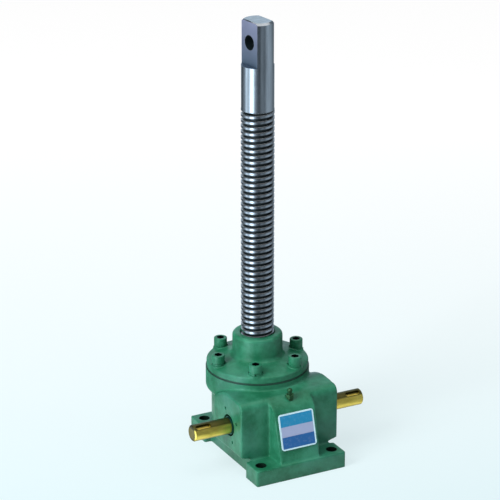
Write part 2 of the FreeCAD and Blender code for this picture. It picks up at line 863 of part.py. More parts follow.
def taper_rollers(oversize):
    """The tapered rollers about Z, grown by a clearance for cutting pockets."""
    lean = math.radians(taper_angle)
    reach = taper_roller_circle_d / 2 / math.sin(lean)
    half = taper_roller_length / 2 + oversize
    spread = math.tan(math.radians(taper_roller_angle))
    big = (reach + half) * spread - race_clearance + oversize
    small = (reach - half) * spread - race_clearance + oversize
    rollers = []
    for angle, x, y in spaced(taper_roller_count, 1):
        towards_apex = Vector(-x * math.sin(lean), -y * math.sin(lean), math.cos(lean))
        start = Vector(0, 0, taper_apex()) - towards_apex * (reach + half)
        rollers.append(Part.makeCone(big, small, 2 * half, start, towards_apex))
    return Part.makeCompound(rollers)


def bearing_rollers(side):
    """The rollers of one worm bearing."""
    return at_bearing(taper_rollers(0), side)


def bearing_cage(side):
    """The conical cage of one worm bearing, slotted for its rollers."""
    bottom = (bearing_width - taper_cage_width) / 2
    top = bottom + taper_cage_width
    inner_low = race_radius(taper_angle, bottom) + pocket_clearance
    inner_high = race_radius(taper_angle, top) + pocket_clearance
    cage = turned(
        [
            (inner_low, bottom),
            (inner_low + taper_cage_thickness, bottom),
            (inner_high + taper_cage_thickness, top),
            (inner_high, top),
        ],
        Vector(0, 0, 0),
    )
    return at_bearing(cage.cut(taper_rollers(pocket_clearance)), side)


def bearing_cap(side):
    """The flush screwed cap that closes one end of the barrel."""
    cap = cylinder(cap_d / 2, 0, cap_length, Vector(0, 0, 0))
    cap = cap.cut(cylinder(cap_mouth_d / 2, 0, cap_length, Vector(0, 0, 0)))
    cap = cap.cut(cylinder(seal_d / 2, 0, seal_width, Vector(0, 0, 0)))
    for angle, x, y in spaced(cap_pin_count, cap_pin_circle_d / 2, cap_pin_start_angle):
        bottom = cap_length - cap_pin_hole_depth
        cap = cap.cut(cylinder(cap_pin_hole_d / 2, bottom, cap_length, Vector(x, y, 0)))
    cap = about_worm(cap)
    cap.translate(Vector(bearing_outer_x, 0, 0))
    return cap if side > 0 else cap.mirror(Vector(0, 0, 0), ALONG_X)


def oil_seal(side):
    """The shaft seal inside one bearing cap."""
    inner = shaft_seal_d / 2 + seal_shaft_clearance
    seal = ring(inner, seal_d / 2, 0, seal_width, Vector(0, 0, 0))
    seal = about_worm(seal)
    seal.translate(Vector(bearing_outer_x, 0, 0))
    return seal if side > 0 else seal.mirror(Vector(0, 0, 0), ALONG_X)


def guide_bush(bottom, length):
    """A plain bush that guides the lifting screw."""
    return ring(screw_bore_r, bush_d / 2, bottom, bottom + length)


def grease_nipple():
    """The grease nipple: thread, hexagon, waist and ball head."""
    centre = nipple_centre()
    seat = nipple_seat()
    hex_top = seat + nipple_hex_height
    neck_top = hex_top + nipple_neck_height
    head_top = neck_top + nipple_head_height
    shank = cylinder(nipple_thread_d / 2, seat - nipple_thread_length, seat, centre)
    hexagonal = hexagon(nipple_hex, seat, hex_top, centre)
    head = turned(
        [
            (0, hex_top),
            (nipple_neck_d / 2, hex_top),
            (nipple_neck_d / 2, neck_top),
            (nipple_head_d / 2, neck_top + nipple_head_land),
            (nipple_head_d / 2, neck_top + 2 * nipple_head_land),
            (nipple_tip_d / 2, head_top),
            (0, head_top),
        ],
        centre,
    )
    return shank.fuse(hexagonal).fuse(head)


def nameplate():
    """The thin rounded plate on the sloping face of the web."""
    plate = Part.makeBox(
        plate_width, plate_thickness, plate_height,
        Vector(-plate_width / 2, -plate_thickness, -plate_height / 2),
    )
    corners = [e for e in plate.Edges if e.BoundBox.XLength + e.BoundBox.ZLength < same_place]
    plate = plate.makeFillet(plate_corner_radius, corners)
    plate.rotate(Vector(0, 0, 0), ALONG_X, -web_slope_angle)
    plate.translate(Vector(0, -web_face_reach - centre_distance / 2, web_face_height))
    return plate


def all_parts():
    """Every node's name with its shape."""
    parts = {
        "housing": housing(),
        "top_cover": top_cover(),
        "cover_gasket": cover_gasket(),
        "cover_screws": cover_screws(),
        "cover_spring_washers": cover_spring_washers(),
        "lifting_screw": lifting_screw(),
        "worm_wheel": worm_wheel(),
        "worm_shaft": worm_shaft(),
        "neck_guide_bush": guide_bush(neck_bush_bottom, bush_length),
        "base_guide_bush": guide_bush(base_bush_recess, base_bush_length),
        "grease_nipple": grease_nipple(),
        "nameplate": nameplate(),
    }
    for place, seat, direction in (("lower", lower_seat, 1), ("upper", upper_seat, -1)):
        parts[place + "_thrust_housing_washer"] = thrust_housing_washer(seat, direction)
        parts[place + "_thrust_shaft_washer"] = thrust_shaft_washer(seat, direction)
        parts[place + "_thrust_rollers"] = thrust_rollers(seat, direction)
        parts[place + "_thrust_cage"] = thrust_cage(seat, direction)
    for place, side in (("left", -1), ("right", 1)):
        parts[place + "_bearing_outer_ring"] = bearing_outer_ring(side)
        parts[place + "_bearing_inner_ring"] = bearing_inner_ring(side)
        parts[place + "_bearing_rollers"] = bearing_rollers(side)
        parts[place + "_bearing_cage"] = bearing_cage(side)
        parts[place + "_bearing_cap"] = bearing_cap(side)
        parts[place + "_oil_seal"] = oil_seal(side)
    return parts


os.makedirs("parts", exist_ok=True)
for name, shape in all_parts().items():
    shape.exportStep("parts/" + name + ".step")
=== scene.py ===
"""The looks of a worm screw jack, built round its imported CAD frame.

Lengths are metres, +Z is up, the worm shaft lies along X and the nameplate faces -Y.
"""

import math

import bmesh
import bpy
from mathutils import Matrix, Vector


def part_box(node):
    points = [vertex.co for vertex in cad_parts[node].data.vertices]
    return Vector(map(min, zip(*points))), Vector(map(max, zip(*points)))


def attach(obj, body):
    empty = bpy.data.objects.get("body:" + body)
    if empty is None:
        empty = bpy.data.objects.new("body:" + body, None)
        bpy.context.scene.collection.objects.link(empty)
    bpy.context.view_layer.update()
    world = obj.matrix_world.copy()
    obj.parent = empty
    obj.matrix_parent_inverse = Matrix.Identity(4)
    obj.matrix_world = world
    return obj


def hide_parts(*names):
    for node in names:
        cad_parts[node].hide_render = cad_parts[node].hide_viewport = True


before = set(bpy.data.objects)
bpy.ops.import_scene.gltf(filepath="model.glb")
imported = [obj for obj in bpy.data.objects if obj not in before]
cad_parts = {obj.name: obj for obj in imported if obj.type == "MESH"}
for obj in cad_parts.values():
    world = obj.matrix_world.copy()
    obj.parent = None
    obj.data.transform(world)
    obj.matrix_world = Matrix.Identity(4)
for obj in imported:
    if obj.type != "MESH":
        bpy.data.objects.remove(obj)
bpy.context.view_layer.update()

bl_info = {
    "name": "Worm screw jack",
    "version": (1, 0, 0),
    "blender": (4, 5, 0),
    "location": "View3D > Sidebar > Screw jack",
    "description": "Builds the castings, screws, shafts and finishes of a worm screw jack",
    "category": "Add Mesh",
}

MM = 0.001

# Places that every piece shares, read from the frame
HOUSING_LOW, HOUSING_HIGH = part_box("housing")
COVER_LOW, COVER_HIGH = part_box("top_cover")
GASKET_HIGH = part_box("cover_gasket")[1]
SCREW_LOW, SCREW_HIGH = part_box("lifting_screw")
SHAFT_LOW, SHAFT_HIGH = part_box("worm_shaft")
CAP_LOW, CAP_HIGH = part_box("right_bearing_cap")
FASTENER_LOW, FASTENER_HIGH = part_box("cover_screws")
WASHER_LOW, WASHER_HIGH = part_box("cover_spring_washers")
BUSH_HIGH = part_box("neck_guide_bush")[1]
NIPPLE_LOW, NIPPLE_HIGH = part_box("grease_nipple")
PLATE_LOW, PLATE_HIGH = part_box("nameplate")
SCREW_AXIS = (SCREW_LOW + SCREW_HIGH) / 2 * Vector((1, 1, 0))
WORM_AXIS = (SHAFT_LOW + SHAFT_HIGH) / 2
ALONG_WORM = Matrix(((0, 0, 1, 0), (1, 0, 0, 0), (0, 1, 0, 0), (0, 0, 0, 1)))


def length(name, value, description):
    """A length in the sidebar, given in millimetres."""
    return bpy.props.FloatProperty(
        name=name, default=value * MM, description=description, unit="LENGTH", precision=5
    )


def angle(name, value, description):
    """An angle in the sidebar, given in degrees."""
    return bpy.props.FloatProperty(
        name=name, default=math.radians(value), description=description, subtype="ANGLE"
    )


def whole_number(name, value, description):
    """A whole number in the sidebar."""
    return bpy.props.IntProperty(name=name, default=value, description=description)


def colour(name, value, description):
    """A colour in the sidebar."""
    return bpy.props.FloatVectorProperty(
        name=name, default=value, description=description, subtype="COLOR", size=3, min=0, max=1
    )


class CastingSizes(bpy.types.PropertyGroup):
    """Sizes of the cast housing."""

    foot_half_width: length("Foot half width", 60, "Half the width of a foot along X")
    foot_thickness: length("Foot thickness", 20, "Height of the feet")
    front_foot_length: length("Front foot length", 31, "Depth of the front foot")
    back_foot_length: length("Back foot length", 39.5, "Depth of the back foot")
    foot_corner: length("Foot corner", 1.5, "Radius of a foot's corners")
    body_half_width: length("Body half width", 51, "Half the width of the box between the feet")
    body_radius: length("Body radius", 56, "Radius of the round body")
    flange_radius: length("Flange radius", 63, "Radius of the flange under the cover")
    flange_underside: length("Flange underside", 78.5, "Height where the flange starts")
    barrel_front: length("Barrel front", 32.5, "From the worm axis to the barrel's front")
    barrel_back: length("Barrel back", 40, "From the worm axis to the barrel's back")
    barrel_top: length("Barrel top", 95, "Height of the barrel's crown")
    barrel_shoulder: length("Barrel shoulder", 85, "Height where the front corner starts")
    barrel_corner: length("Barrel corner", 9, "Radius of the barrel's front corner")
    barrel_back_height: length("Barrel back height", 80, "Height of the barrel's back edge")
    barrel_underside: length("Barrel underside", 25, "Height of the barrel's lower edge at its ends")
    body_underside: length("Body underside", 21.5, "Height of the barrel's lower edge inside")
    web_root: length("Web root", 29, "Half width of the front web at the barrel")
    web_nose: length("Web nose", 26, "Half width of the front web at its face")
    web_slope: angle("Web slope", 15.5, "Lean of the web's face")
    web_crown: length("Web crown", 93, "Height of the web's top")
    hole_radius: length("Bolt hole radius", 6.5, "Radius of the four base holes")
    hole_spacing_x: length("Hole spacing X", 96, "Spacing of the base holes across")
    hole_spacing_y: length("Hole spacing Y", 150, "Spacing of the base holes in depth")
    grain: length("Casting grain", 1.15, "Grid step that the casting is remeshed with")
    softening: whole_number("Softening", 7, "Rounds of smoothing that round the cast edges")


class CoverSizes(bpy.types.PropertyGroup):
    """Sizes of the bolted cover and its screws."""

    rim_thickness: length("Rim thickness", 8, "Thickness of the cover's rim")
    rim_edge: length("Rim edge", 1.6, "Radius of the rim's upper edge")
    cone_height: length("Cone height", 7, "Rise of the cover's cone from rim to neck")
    neck_radius: length("Neck radius", 30.5, "Outer radius of the neck")
    neck_edge: length("Neck edge", 4, "Radius of the neck's upper edge")
    neck_root: length("Neck root", 5, "Radius between cone and neck")
    mouth_radius: length("Mouth radius", 20.6, "Radius of the bore above the bush")
    seat_radius: length("Seat radius", 9, "Radius of a screw's spot face")
    screw_radius: length("Screw radius", 5, "Radius of a cover screw's shank")
    head_radius: length("Head radius", 8, "Radius of a cover screw's head")
    head_edge: length("Head edge", 0.9, "Rounding of a screw head's upper edge")
    socket_radius: length("Socket radius", 4.62, "Radius over the corners of the socket")
    socket_depth: length("Socket depth", 5, "Depth of the socket")
    count: whole_number("Screws", 6, "Number of cover screws")
    grain: length("Casting grain", 0.8, "Grid step that the cover is remeshed with")
    softening: whole_number("Softening", 4, "Rounds of smoothing that round the cast edges")


class LiftingScrewSizes(bpy.types.PropertyGroup):
    """Sizes of the lifting screw."""

    lead: length("Lead", 7, "Rise of the thread in one turn")
    thread_depth: length("Thread depth", 4, "Depth of the trapezoidal thread")
    crest_width: length("Crest width", 2.55, "Width of the thread's crest")
    flank_width: length("Flank width", 1.07, "Width of one flank along the screw")
    plain_radius: length("Plain radius", 19.6, "Radius of the plain end")
    plain_length: length("Plain length", 107, "Length of the plain end")
    flat_half_distance: length("Flat half distance", 12, "From the axis to a flat")
    flat_length: length("Flat length", 54, "Length of the flats")
    end_turn: angle("End turn", 8, "Turn of the flats about the screw axis")
    hole_radius: length("Cross hole radius", 9, "Radius of the cross hole")
    hole_below_top: length("Cross hole below top", 26, "From the top to the cross hole")
    top_chamfer: length("Top chamfer", 2.5, "Chamfer of the upper end")
    foot_chamfer: length("Foot chamfer", 3, "Chamfer of the lower end")


class WormShaftSizes(bpy.types.PropertyGroup):
    """Sizes of the worm shaft."""

    lead: length("Worm lead", 3 * math.pi, "Advance of the worm thread in one turn")
    root_radius: length("Worm root radius", 11.4, "Radius at the bottom of the worm thread")
    tip_radius: length("Worm tip radius", 18, "Radius over the worm thread")
    crest_width: length("Worm crest width", 1.52, "Width of the worm thread's tip")
    flank_width: length("Worm flank width", 2.4, "Width of one worm flank along the shaft")
    thread_half_length: length("Worm half length", 21, "Half the length of the worm thread")
    collar_radius: length("Collar radius", 15, "Radius of the shaft's collars")
    bearing_radius: length("Bearing seat radius", 12.5, "Radius where the bearings sit")
    seal_radius: length("Seal seat radius", 11, "Radius where the oil seals run")
    end_radius: length("End radius", 10, "Radius of the free shaft ends")
    end_chamfer: length("End chamfer", 1.2, "Chamfer of the shaft ends")
    keyway_half_width: length("Keyway half width", 3, "Half the width of a keyway")
    keyway_depth: length("Keyway depth", 3.5, "Depth of a keyway")
    keyway_length: length("Keyway length", 20, "Length of a keyway")
    keyway_turn: angle("Keyway turn", 30, "Turn of the keyways forward from the top")
    keyway_gap: length("Keyway gap", 3, "From the shaft end to its keyway")


class Finishes(bpy.types.PropertyGroup):
    """Colours of the finishes."""

    paint: colour("Paint", (0.008, 0.116, 0.054), "Green paint of the castings")
    paint_light: colour("Worn paint", (0.032, 0.205, 0.118), "Green paint where it is thin or dusty")
    paint_grey: colour("Grey paint", (0.036, 0.165, 0.128), "Green paint in its greyer clouds")
    # Grime for the seam under the cover; the same colour paints shade inside the base bolt holes and
    # darkens the feet towards the floor
    grime_and_shade: colour("Grime", (0.002, 0.010, 0.006), "Old grease in the seam and in the bolt holes")
    steel: colour("Bright steel", (0.56, 0.60, 0.64), "Turned steel of the lifting screw")
    # Milled flats painted darker low and lighter at the top: painted shade below, painted highlight above
    milled: colour("Milled flats", (0.22, 0.28, 0.35), "Milled steel low on the flats")
    milled_highlight: colour("Milled flats, upper", (0.62, 0.60, 0.78), "Milled steel at the top of the flats")
    # Painted shade at the bottom of the thread and in the cross hole
    groove_shade: colour("Thread grease", (0.008, 0.014, 0.016), "Grease at the bottom of the thread")
    film: colour("Shaft film", (1.0, 0.75, 0.15), "Gold-coloured film on the worm shaft")
    film_dark: colour("Dark shaft film", (0.74, 0.54, 0.09), "Thick places of the shaft film")
    # Painted dark reflection on the top of the shaft and painted shade on its bottom
    film_painted_shade: colour("Dusty shaft film", (0.060, 0.062, 0.024), "Dust on the top and bottom of the shaft")
    oiled: colour("Oiled steel", (0.045, 0.040, 0.022), "Bare shaft steel under old oil")
    nipple: colour("Nipple plating", (0.075, 0.19, 0.085), "Plating of the grease nipple under overspray")
    black_oxide: colour("Black oxide", (0.012, 0.014, 0.015), "Inside of the cover screws' sockets")
    bronze: colour("Bronze", (0.60, 0.38, 0.14), "Bronze of wheel and bushes")
    ground: colour("Ground steel", (0.55, 0.57, 0.60), "Rings and washers of the bearings")
    polished: colour("Polished steel", (0.66, 0.67, 0.69), "Rollers of the bearings")
    brass: colour("Brass", (0.66, 0.49, 0.20), "Cages of the thrust bearings")
    seal: colour("Painted seal", (0.010, 0.066, 0.040), "Rubber of the oil seals under paint")
    gasket: colour("Gasket sheet", (0.020, 0.045, 0.036), "Sealing sheet under the cover")
    plate_top: colour("Plate upper band", (0.015, 0.24, 0.46), "Upper band of the nameplate")
    plate_middle: colour("Plate middle band", (0.35, 0.40, 0.60), "Middle band of the nameplate")
    plate_bottom: colour("Plate lower band", (0.018, 0.115, 0.34), "Lower band of the nameplate")
    plate_border: colour("Plate border", (0.58, 0.80, 0.88), "Border of the nameplate")
    plate_dust: colour("Plate dust", (0.45, 0.52, 0.60), "Dust on the nameplate")


class StageSettings(bpy.types.PropertyGroup):
    """Camera and light."""

    azimuth: angle("Azimuth", -27.63, "Turn of the camera about the jack")
    elevation: angle("Elevation", 21.42, "Height of the camera above the horizon")
    distance: length("Distance", 3063.5, "From the camera to its target")
    target_right: length("Target right", -9, "Shift of the target to the right of the screw axis")
    target_height: length("Target height", 251.7, "Height of the target")
    lens: bpy.props.FloatProperty(name="Lens", default=184.3, description="Focal length for a 36 mm sensor")
    floor_near: colour("Floor near", (0.783, 0.939, 0.973), "Floor colour in front of the jack")
    floor_far: colour("Floor far", (1.0, 1.0, 1.0), "Floor colour far behind the jack")


# Studio cards round the jack: place on the ring from -X through -Y, +X and +Y, and brightness.
# The first two are the ring's joint at -X.
REFLECTOR_CARDS = [
    (0.0, 0.65), (1.0, 0.65), (0.016, 1.1), (0.035, 2.4), (0.060, 3.6), (0.080, 3.2), (0.098, 1.3),
    (0.12, 0.50), (0.14, 0.28), (0.18, 0.10), (0.222, 0.10), (0.236, 0.26), (0.28, 0.22), (0.305, 0.15),
    (0.35, 0.42), (0.40, 0.48), (0.46, 0.36), (0.53, 0.18), (0.60, 0.24), (0.65, 0.70), (0.72, 0.65),
    (0.78, 0.05), (0.835, 0.15), (0.873, 0.24), (0.905, 0.38), (0.925, 0.75), (0.945, 1.35), (0.97, 0.95),
]

# Name, azimuth and elevation in degrees, distance, width and height in metres, and watts
SOFTBOXES = (
    ("softbox_left", -75, 28, 2.2, 0.9, 1.8, 62),
    ("softbox_top", -20, 78, 1.9, 1.4, 1.4, 13),
    ("softbox_right", 50, 25, 2.6, 0.5, 1.6, 4),
)

PROPERTY_GROUPS = {
    "jack_casting": CastingSizes,
    "jack_cover": CoverSizes,
    "jack_screw": LiftingScrewSizes,
    "jack_shaft": WormShaftSizes,
    "jack_finish": Finishes,
    "jack_stage": StageSettings,
}


# Meshes

def object_from(name, bm):
    """Turns a bmesh into an object of the scene."""
    mesh = bpy.data.meshes.new(name)
    bm.to_mesh(mesh)
    bm.free()
    made = bpy.data.objects.new(name, mesh)
    bpy.context.scene.collection.objects.link(made)
    return made


def softened(outline, steps=6):
    """Points of an outline whose corners may carry a third number, their radius."""
    points = []
    for number, corner in enumerate(outline):
        here = Vector(corner[:2])
        if len(corner) < 3:
            points.append(here)
            continue
        back = (Vector(outline[number - 1][:2]) - here).normalized()
        ahead = (Vector(outline[(number + 1) % len(outline)][:2]) - here).normalized()
        half = back.angle(ahead) / 2
        middle = here + (back + ahead).normalized() * (corner[2] / math.sin(half))
        start = here + back * (corner[2] / math.tan(half)) - middle
        end = here + ahead * (corner[2] / math.tan(half)) - middle
        for step in range(steps + 1):
            part = step / steps
            spoke = (start * (1 - part) + end * part).normalized() * corner[2]
            points.append(middle + spoke)
    return points


def arc_points(start, through, end, steps=8):
    """Points of the arc through three points of a plane, its ends included."""
    first, second = through - start, end - start
    cross = 2 * (first.x * second.y - first.y * second.x)
    along = second.y * first.length_squared - first.y * second.length_squared
    across = first.x * second.length_squared - second.x * first.length_squared
    centre = start + Vector((along, across)) / cross
    sweep = (start - centre).angle_signed(through - centre) + (through - centre).angle_signed(end - centre)
    return [centre + Matrix.Rotation(-sweep * n / steps, 2) @ (start - centre) for n in range(steps + 1)]


def round_places(centre, radius, count, height=0.0):
    """Places evenly spaced on a circle about a standing axis."""
    turns = [2 * math.pi * n / count for n in range(count)]
    return [centre + Vector((radius * math.cos(t), radius * math.sin(t), height)) for t in turns]


def turned(name, outline, centre=SCREW_AXIS, segments=96):
    """A closed solid of revolution from (radius, height) corners about a standing axis."""
    bm = bmesh.new()
    rings = []
    for radius, height in softened(outline):
        if radius < 1e-7:
            rings.append([bm.verts.new(centre + Vector((0, 0, height)))])
            continue
        rings.append([bm.verts.new(place) for place in round_places(centre, radius, segments, height)])
    for lower, upper in zip(rings, rings[1:] + rings[:1]):
        for n in range(segments):
            corners = [lower[n % len(lower)], lower[(n + 1) % len(lower)]]
            corners += [upper[(n + 1) % len(upper)], upper[n % len(upper)]]
            kept = list(dict.fromkeys(corners))
            if len(kept) > 2:
                bm.faces.new(kept)
    bmesh.ops.recalc_face_normals(bm, faces=bm.faces)
    return object_from(name, bm)


def skinned(name, sections):
    """A closed solid through loops of equal length, with flat ends."""
    bm = bmesh.new()
    loops = [[bm.verts.new(point) for point in section] for section in sections]
    for before, after in zip(loops, loops[1:]):
        for n in range(len(before)):
            m = (n + 1) % len(before)
            bm.faces.new((before[n], before[m], after[m], after[n]))
    bm.faces.new(loops[0])
    bm.faces.new(loops[-1])
    bmesh.ops.recalc_face_normals(bm, faces=bm.faces)
    return object_from(name, bm)


def block(name, low, high, corner=0.0):
    """A box between two corners, its upright edges rounded if a radius is given."""
    outline = [(low[0], low[1]), (high[0], low[1]), (high[0], high[1]), (low[0], high[1])]
    if corner:
        outline = [(x, y, corner) for x, y in outline]
    plan = softened(outline)
    return skinned(name, [[Vector((p.x, p.y, z)) for p in plan] for z in (low[2], high[2])])


def rod(name, radius, start, end, segments=48):
    """A cylinder between two points."""
    run = end - start
    made = turned(name, [(0, 0), (radius, 0), (radius, run.length), (0, run.length)], Vector(), segments)
    made.data.transform(Matrix.Translation(start) @ run.to_track_quat("Z", "X").to_matrix().to_4x4())
    return made


def laid_along_worm(made):
    """Lays a solid built about the upright axis at the origin along the worm axis."""
    made.data.transform(Matrix.Translation(WORM_AXIS) @ ALONG_WORM)
    return made


def joined(name, parts):
    """One object of several meshes that may overlap."""
    bm = bmesh.new()
    for part in parts:
        bm.from_mesh(part.data)
        bpy.data.objects.remove(part)
    return object_from(name, bm)


def baked(made):
    """Swaps an object's mesh for what its modifiers give, and removes them."""
    graph = bpy.context.evaluated_depsgraph_get()
    mesh = bpy.data.meshes.new_from_object(made.evaluated_get(graph))
    mesh.name = made.name
    made.modifiers.clear()
    made.data = mesh
    return made


def combined(made, other, operation):
    """Adds or cuts a closed mesh, and removes it."""
    change = made.modifiers.new("Combine", "BOOLEAN")
    change.object = other
    change.operation = operation
    change.solver = "MANIFOLD"
    baked(made)
    bpy.data.objects.remove(other)
    if not made.data.polygons:
        raise RuntimeError(f"{made.name} lost its faces")
    return made


def cast(made, grain, softening):
    """Gives overlapping solids one skin with the rounded edges and fillets of a casting."""
    skin = made.modifiers.new("Skin", "REMESH")
    skin.mode = "VOXEL"
    skin.voxel_size = grain
    soft = made.modifiers.new("Soften", "SMOOTH")
    soft.factor = 0.5
    soft.iterations = softening
    return baked(made)


def finished(made, body, material, replaces=(), sharp=35):
    """Shades a piece, gives it its finish and hangs it on its body."""
    made.data.polygons.foreach_set("use_smooth", [True] * len(made.data.polygons))
    made.data.set_sharp_from_angle(angle=math.radians(sharp))
    made.data.materials.clear()
    made.data.materials.append(material)
    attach(made, body)
    if replaces:
        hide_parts(*replaces)
    return made


# Node trees

class Wiring:
    """Adds nodes to a tree and wires them up."""

    def __init__(self, tree):
        self.tree = tree

    def add(self, kind, settings=None, **sockets):
        """Adds a node; sockets are given by name with spaces as underscores, or as s0, s1 by place."""
        node = self.tree.nodes.new(kind)
        for name, value in (settings or {}).items():
            setattr(node, name, value)
        for name, value in sockets.items():
            if name[0] == "s" and name[1:].isdigit():
                socket = node.inputs[int(name[1:])]
            else:
                socket = node.inputs[name.replace("_", " ")]
            self.feed(socket, value)
        return node

    def feed(self, socket, value):
        """Links a socket to another one, or sets its value."""
        if isinstance(value, bpy.types.NodeSocket):
            self.tree.links.new(value, socket)
        else:
            socket.default_value = value

    def calc(self, operation, first, second=0.0, third=0.0):
        """The result of one sum."""
        node = self.add("ShaderNodeMath", {"operation": operation}, s0=first, s1=second, s2=third)
        return node.outputs[0]

    def plus(self, first, second):
        """Two values added."""
        return self.calc("ADD", first, second)

    def minus(self, first, second):
        """One value less another."""
        return self.calc("SUBTRACT", first, second)

    def times(self, first, second):
        """Two values multiplied."""
        return self.calc("MULTIPLY", first, second)

    def over(self, first, second):
        """One value divided by another."""
        return self.calc("DIVIDE", first, second)

    def most(self, first, second):
        """The larger of two values."""
        return self.calc("MAXIMUM", first, second)

    def least(self, first, second):
        """The smaller of two values."""
        return self.calc("MINIMUM", first, second)

    def weighed(self, first, share, second, other):
        """Two values added, each times its own factor."""
        return self.plus(self.times(first, share), self.times(second, other))

    def reach(self, first, second):
        """The distance that two offsets at right angles make."""
        return self.calc("SQRT", self.weighed(first, first, second, second))

    def axes(self, place):
        """The three parts of a place."""
        return self.add("ShaderNodeSeparateXYZ", None, s0=place).outputs

    def ranged(self, value, low, high, to_low=0.0, to_high=1.0):
        """A value mapped from one range to another and held inside it."""
        node = self.add("ShaderNodeMapRange", None, s0=value, s1=low, s2=high, s3=to_low, s4=to_high)
        return node.outputs[0]


def geometry_tree(name, inputs):
    """A geometry node tree with its group input, output and named inputs."""
    tree = bpy.data.node_groups.new(name, "GeometryNodeTree")
    tree.interface.new_socket("Geometry", in_out="INPUT", socket_type="NodeSocketGeometry")
    tree.interface.new_socket("Geometry", in_out="OUTPUT", socket_type="NodeSocketGeometry")
    for label, kind in inputs.items():
        tree.interface.new_socket(label, in_out="INPUT", socket_type=kind)
    wiring = Wiring(tree)
    return tree, wiring, wiring.add("NodeGroupInput"), wiring.add("NodeGroupOutput")


def run_tree(made, tree, values):
    """Runs a geometry node tree on an object and keeps the plain mesh."""
    change = made.modifiers.new(tree.name, "NODES")
    change.node_group = tree
    for item in tree.interface.items_tree:
        if item.in_out == "INPUT" and item.name in values:
            change[item.identifier] = values[item.name]
    return baked(made)


def thread_tree():
    """A tree that winds a trapezoidal thread between two heights about the upright axis."""
    number = "NodeSocketFloat"
    names = (
        "Lead", "Crest radius", "Root radius", "End radius", "Crest width", "Flank width",
        "Low", "High", "Fade",
    )
    inputs = {name: number for name in names}
    inputs.update({"Turns": "NodeSocketInt", "Segments": "NodeSocketInt", "Material": "NodeSocketMaterial"})
    tree, wire, given, result = geometry_tree("Trapezoidal thread", inputs)
    give = given.outputs
    rows = wire.times(give["Turns"], 4)
    grid = wire.add(
        "GeometryNodeMeshGrid", None, Size_X=rows, Size_Y=give["Segments"],
        Vertices_X=wire.plus(rows, 1), Vertices_Y=wire.plus(give["Segments"], 1),
    )
    place = wire.axes(wire.add("GeometryNodeInputPosition").outputs[0])
    row = wire.calc("ROUND", wire.plus(place[0], wire.times(rows, 0.5)))
    column = wire.calc("ROUND", wire.plus(place[1], wire.times(give["Segments"], 0.5)))
    turn = wire.over(column, give["Segments"])
    theta = wire.times(turn, 2 * math.pi)
    corner = wire.calc("MODULO", row, 4)
    whole = wire.calc("FLOOR", wire.over(row, 4))

    half_crest = wire.times(give["Crest width"], 0.5)
    is_root = wire.calc("GREATER_THAN", corner, 1.5)
    reach = wire.plus(half_crest, wire.times(is_root, give["Flank width"]))
    upper_crest = wire.calc("COMPARE", corner, 1, 0.1)
    upper_root = wire.calc("COMPARE", corner, 2, 0.1)
    side = wire.minus(wire.times(wire.plus(upper_crest, upper_root), 2), 1)
    offset = wire.times(side, reach)
    last = wire.calc("COMPARE", corner, 3, 0.1)
    offset = wire.plus(offset, wire.times(last, give["Lead"]))

    start = wire.minus(give["Low"], wire.times(give["Lead"], 2))
    start = wire.times(wire.calc("FLOOR", wire.over(start, give["Lead"])), give["Lead"])
    climb = wire.times(wire.plus(whole, turn), give["Lead"])
    height = wire.plus(wire.plus(start, climb), offset)
    from_low = wire.over(wire.minus(height, give["Low"]), give["Fade"])
    from_high = wire.over(wire.minus(give["High"], height), give["Fade"])
    fade = wire.ranged(wire.least(from_low, from_high), 0.0, 1.0)
    drop = wire.minus(give["Root radius"], give["Crest radius"])
    full = wire.plus(give["Crest radius"], wire.times(is_root, drop))
    grown = wire.times(fade, wire.minus(full, give["End radius"]))
    radius = wire.plus(give["End radius"], grown)
    held = wire.least(wire.most(height, give["Low"]), give["High"])
    spot = wire.add(
        "ShaderNodeCombineXYZ", None, X=wire.times(radius, wire.calc("COSINE", theta)),
        Y=wire.times(radius, wire.calc("SINE", theta)), Z=held,
    )
    wound = wire.add(
        "GeometryNodeSetPosition", None, Geometry=grid.outputs["Mesh"], Position=spot.outputs[0]
    )
    shells = [wound.outputs[0]]
    for level in ("Low", "High"):
        lid = wire.add(
            "GeometryNodeMeshCircle", {"fill_type": "NGON"},
            Vertices=give["Segments"], Radius=give["End radius"],
        )
        lift = wire.add("ShaderNodeCombineXYZ", None, Z=give[level])
        moved = wire.add(
            "GeometryNodeTransform", None, Geometry=lid.outputs[0], Translation=lift.outputs[0]
        )
        shells.append(moved.outputs[0])
    gather = wire.add("GeometryNodeJoinGeometry")
    for shell in shells:
        wire.tree.links.new(shell, gather.inputs[0])
    welded = wire.add("GeometryNodeMergeByDistance", None, Geometry=gather.outputs[0], Distance=0.00002)
    real = wire.add("GeometryNodeRealizeInstances", None, Geometry=welded.outputs[0])
    coated = wire.add("GeometryNodeSetMaterial", None, Geometry=real.outputs[0], Material=give["Material"])
    wire.feed(result.inputs[0], coated.outputs[0])
    return tree


def ring_tree():
    """A tree that repeats the object's own mesh evenly round a circle."""
    inputs = {
        "Count": "NodeSocketInt", "Radius": "NodeSocketFloat",
        "Centre": "NodeSocketVector", "Material": "NodeSocketMaterial",
    }
    tree, wire, given, result = geometry_tree("Ring of fasteners", inputs)
    give = given.outputs
    circle = wire.add("GeometryNodeMeshCircle", None, Vertices=give["Count"], Radius=give["Radius"])
    placed = wire.add("GeometryNodeTransform", None, Geometry=circle.outputs[0], Translation=give["Centre"])
    step = wire.over(2 * math.pi, give["Count"])
    spin = wire.times(wire.add("GeometryNodeInputIndex").outputs[0], step)
    rotation = wire.add("ShaderNodeCombineXYZ", None, Z=spin)
    copies = wire.add(
        "GeometryNodeInstanceOnPoints", None, Points=placed.outputs[0],
        Instance=give["Geometry"], Rotation=rotation.outputs[0],
    )
    real = wire.add("GeometryNodeRealizeInstances", None, Geometry=copies.outputs[0])
    coated = wire.add("GeometryNodeSetMaterial", None, Geometry=real.outputs[0], Material=give["Material"])
    wire.feed(result.inputs[0], coated.outputs[0])
    return tree


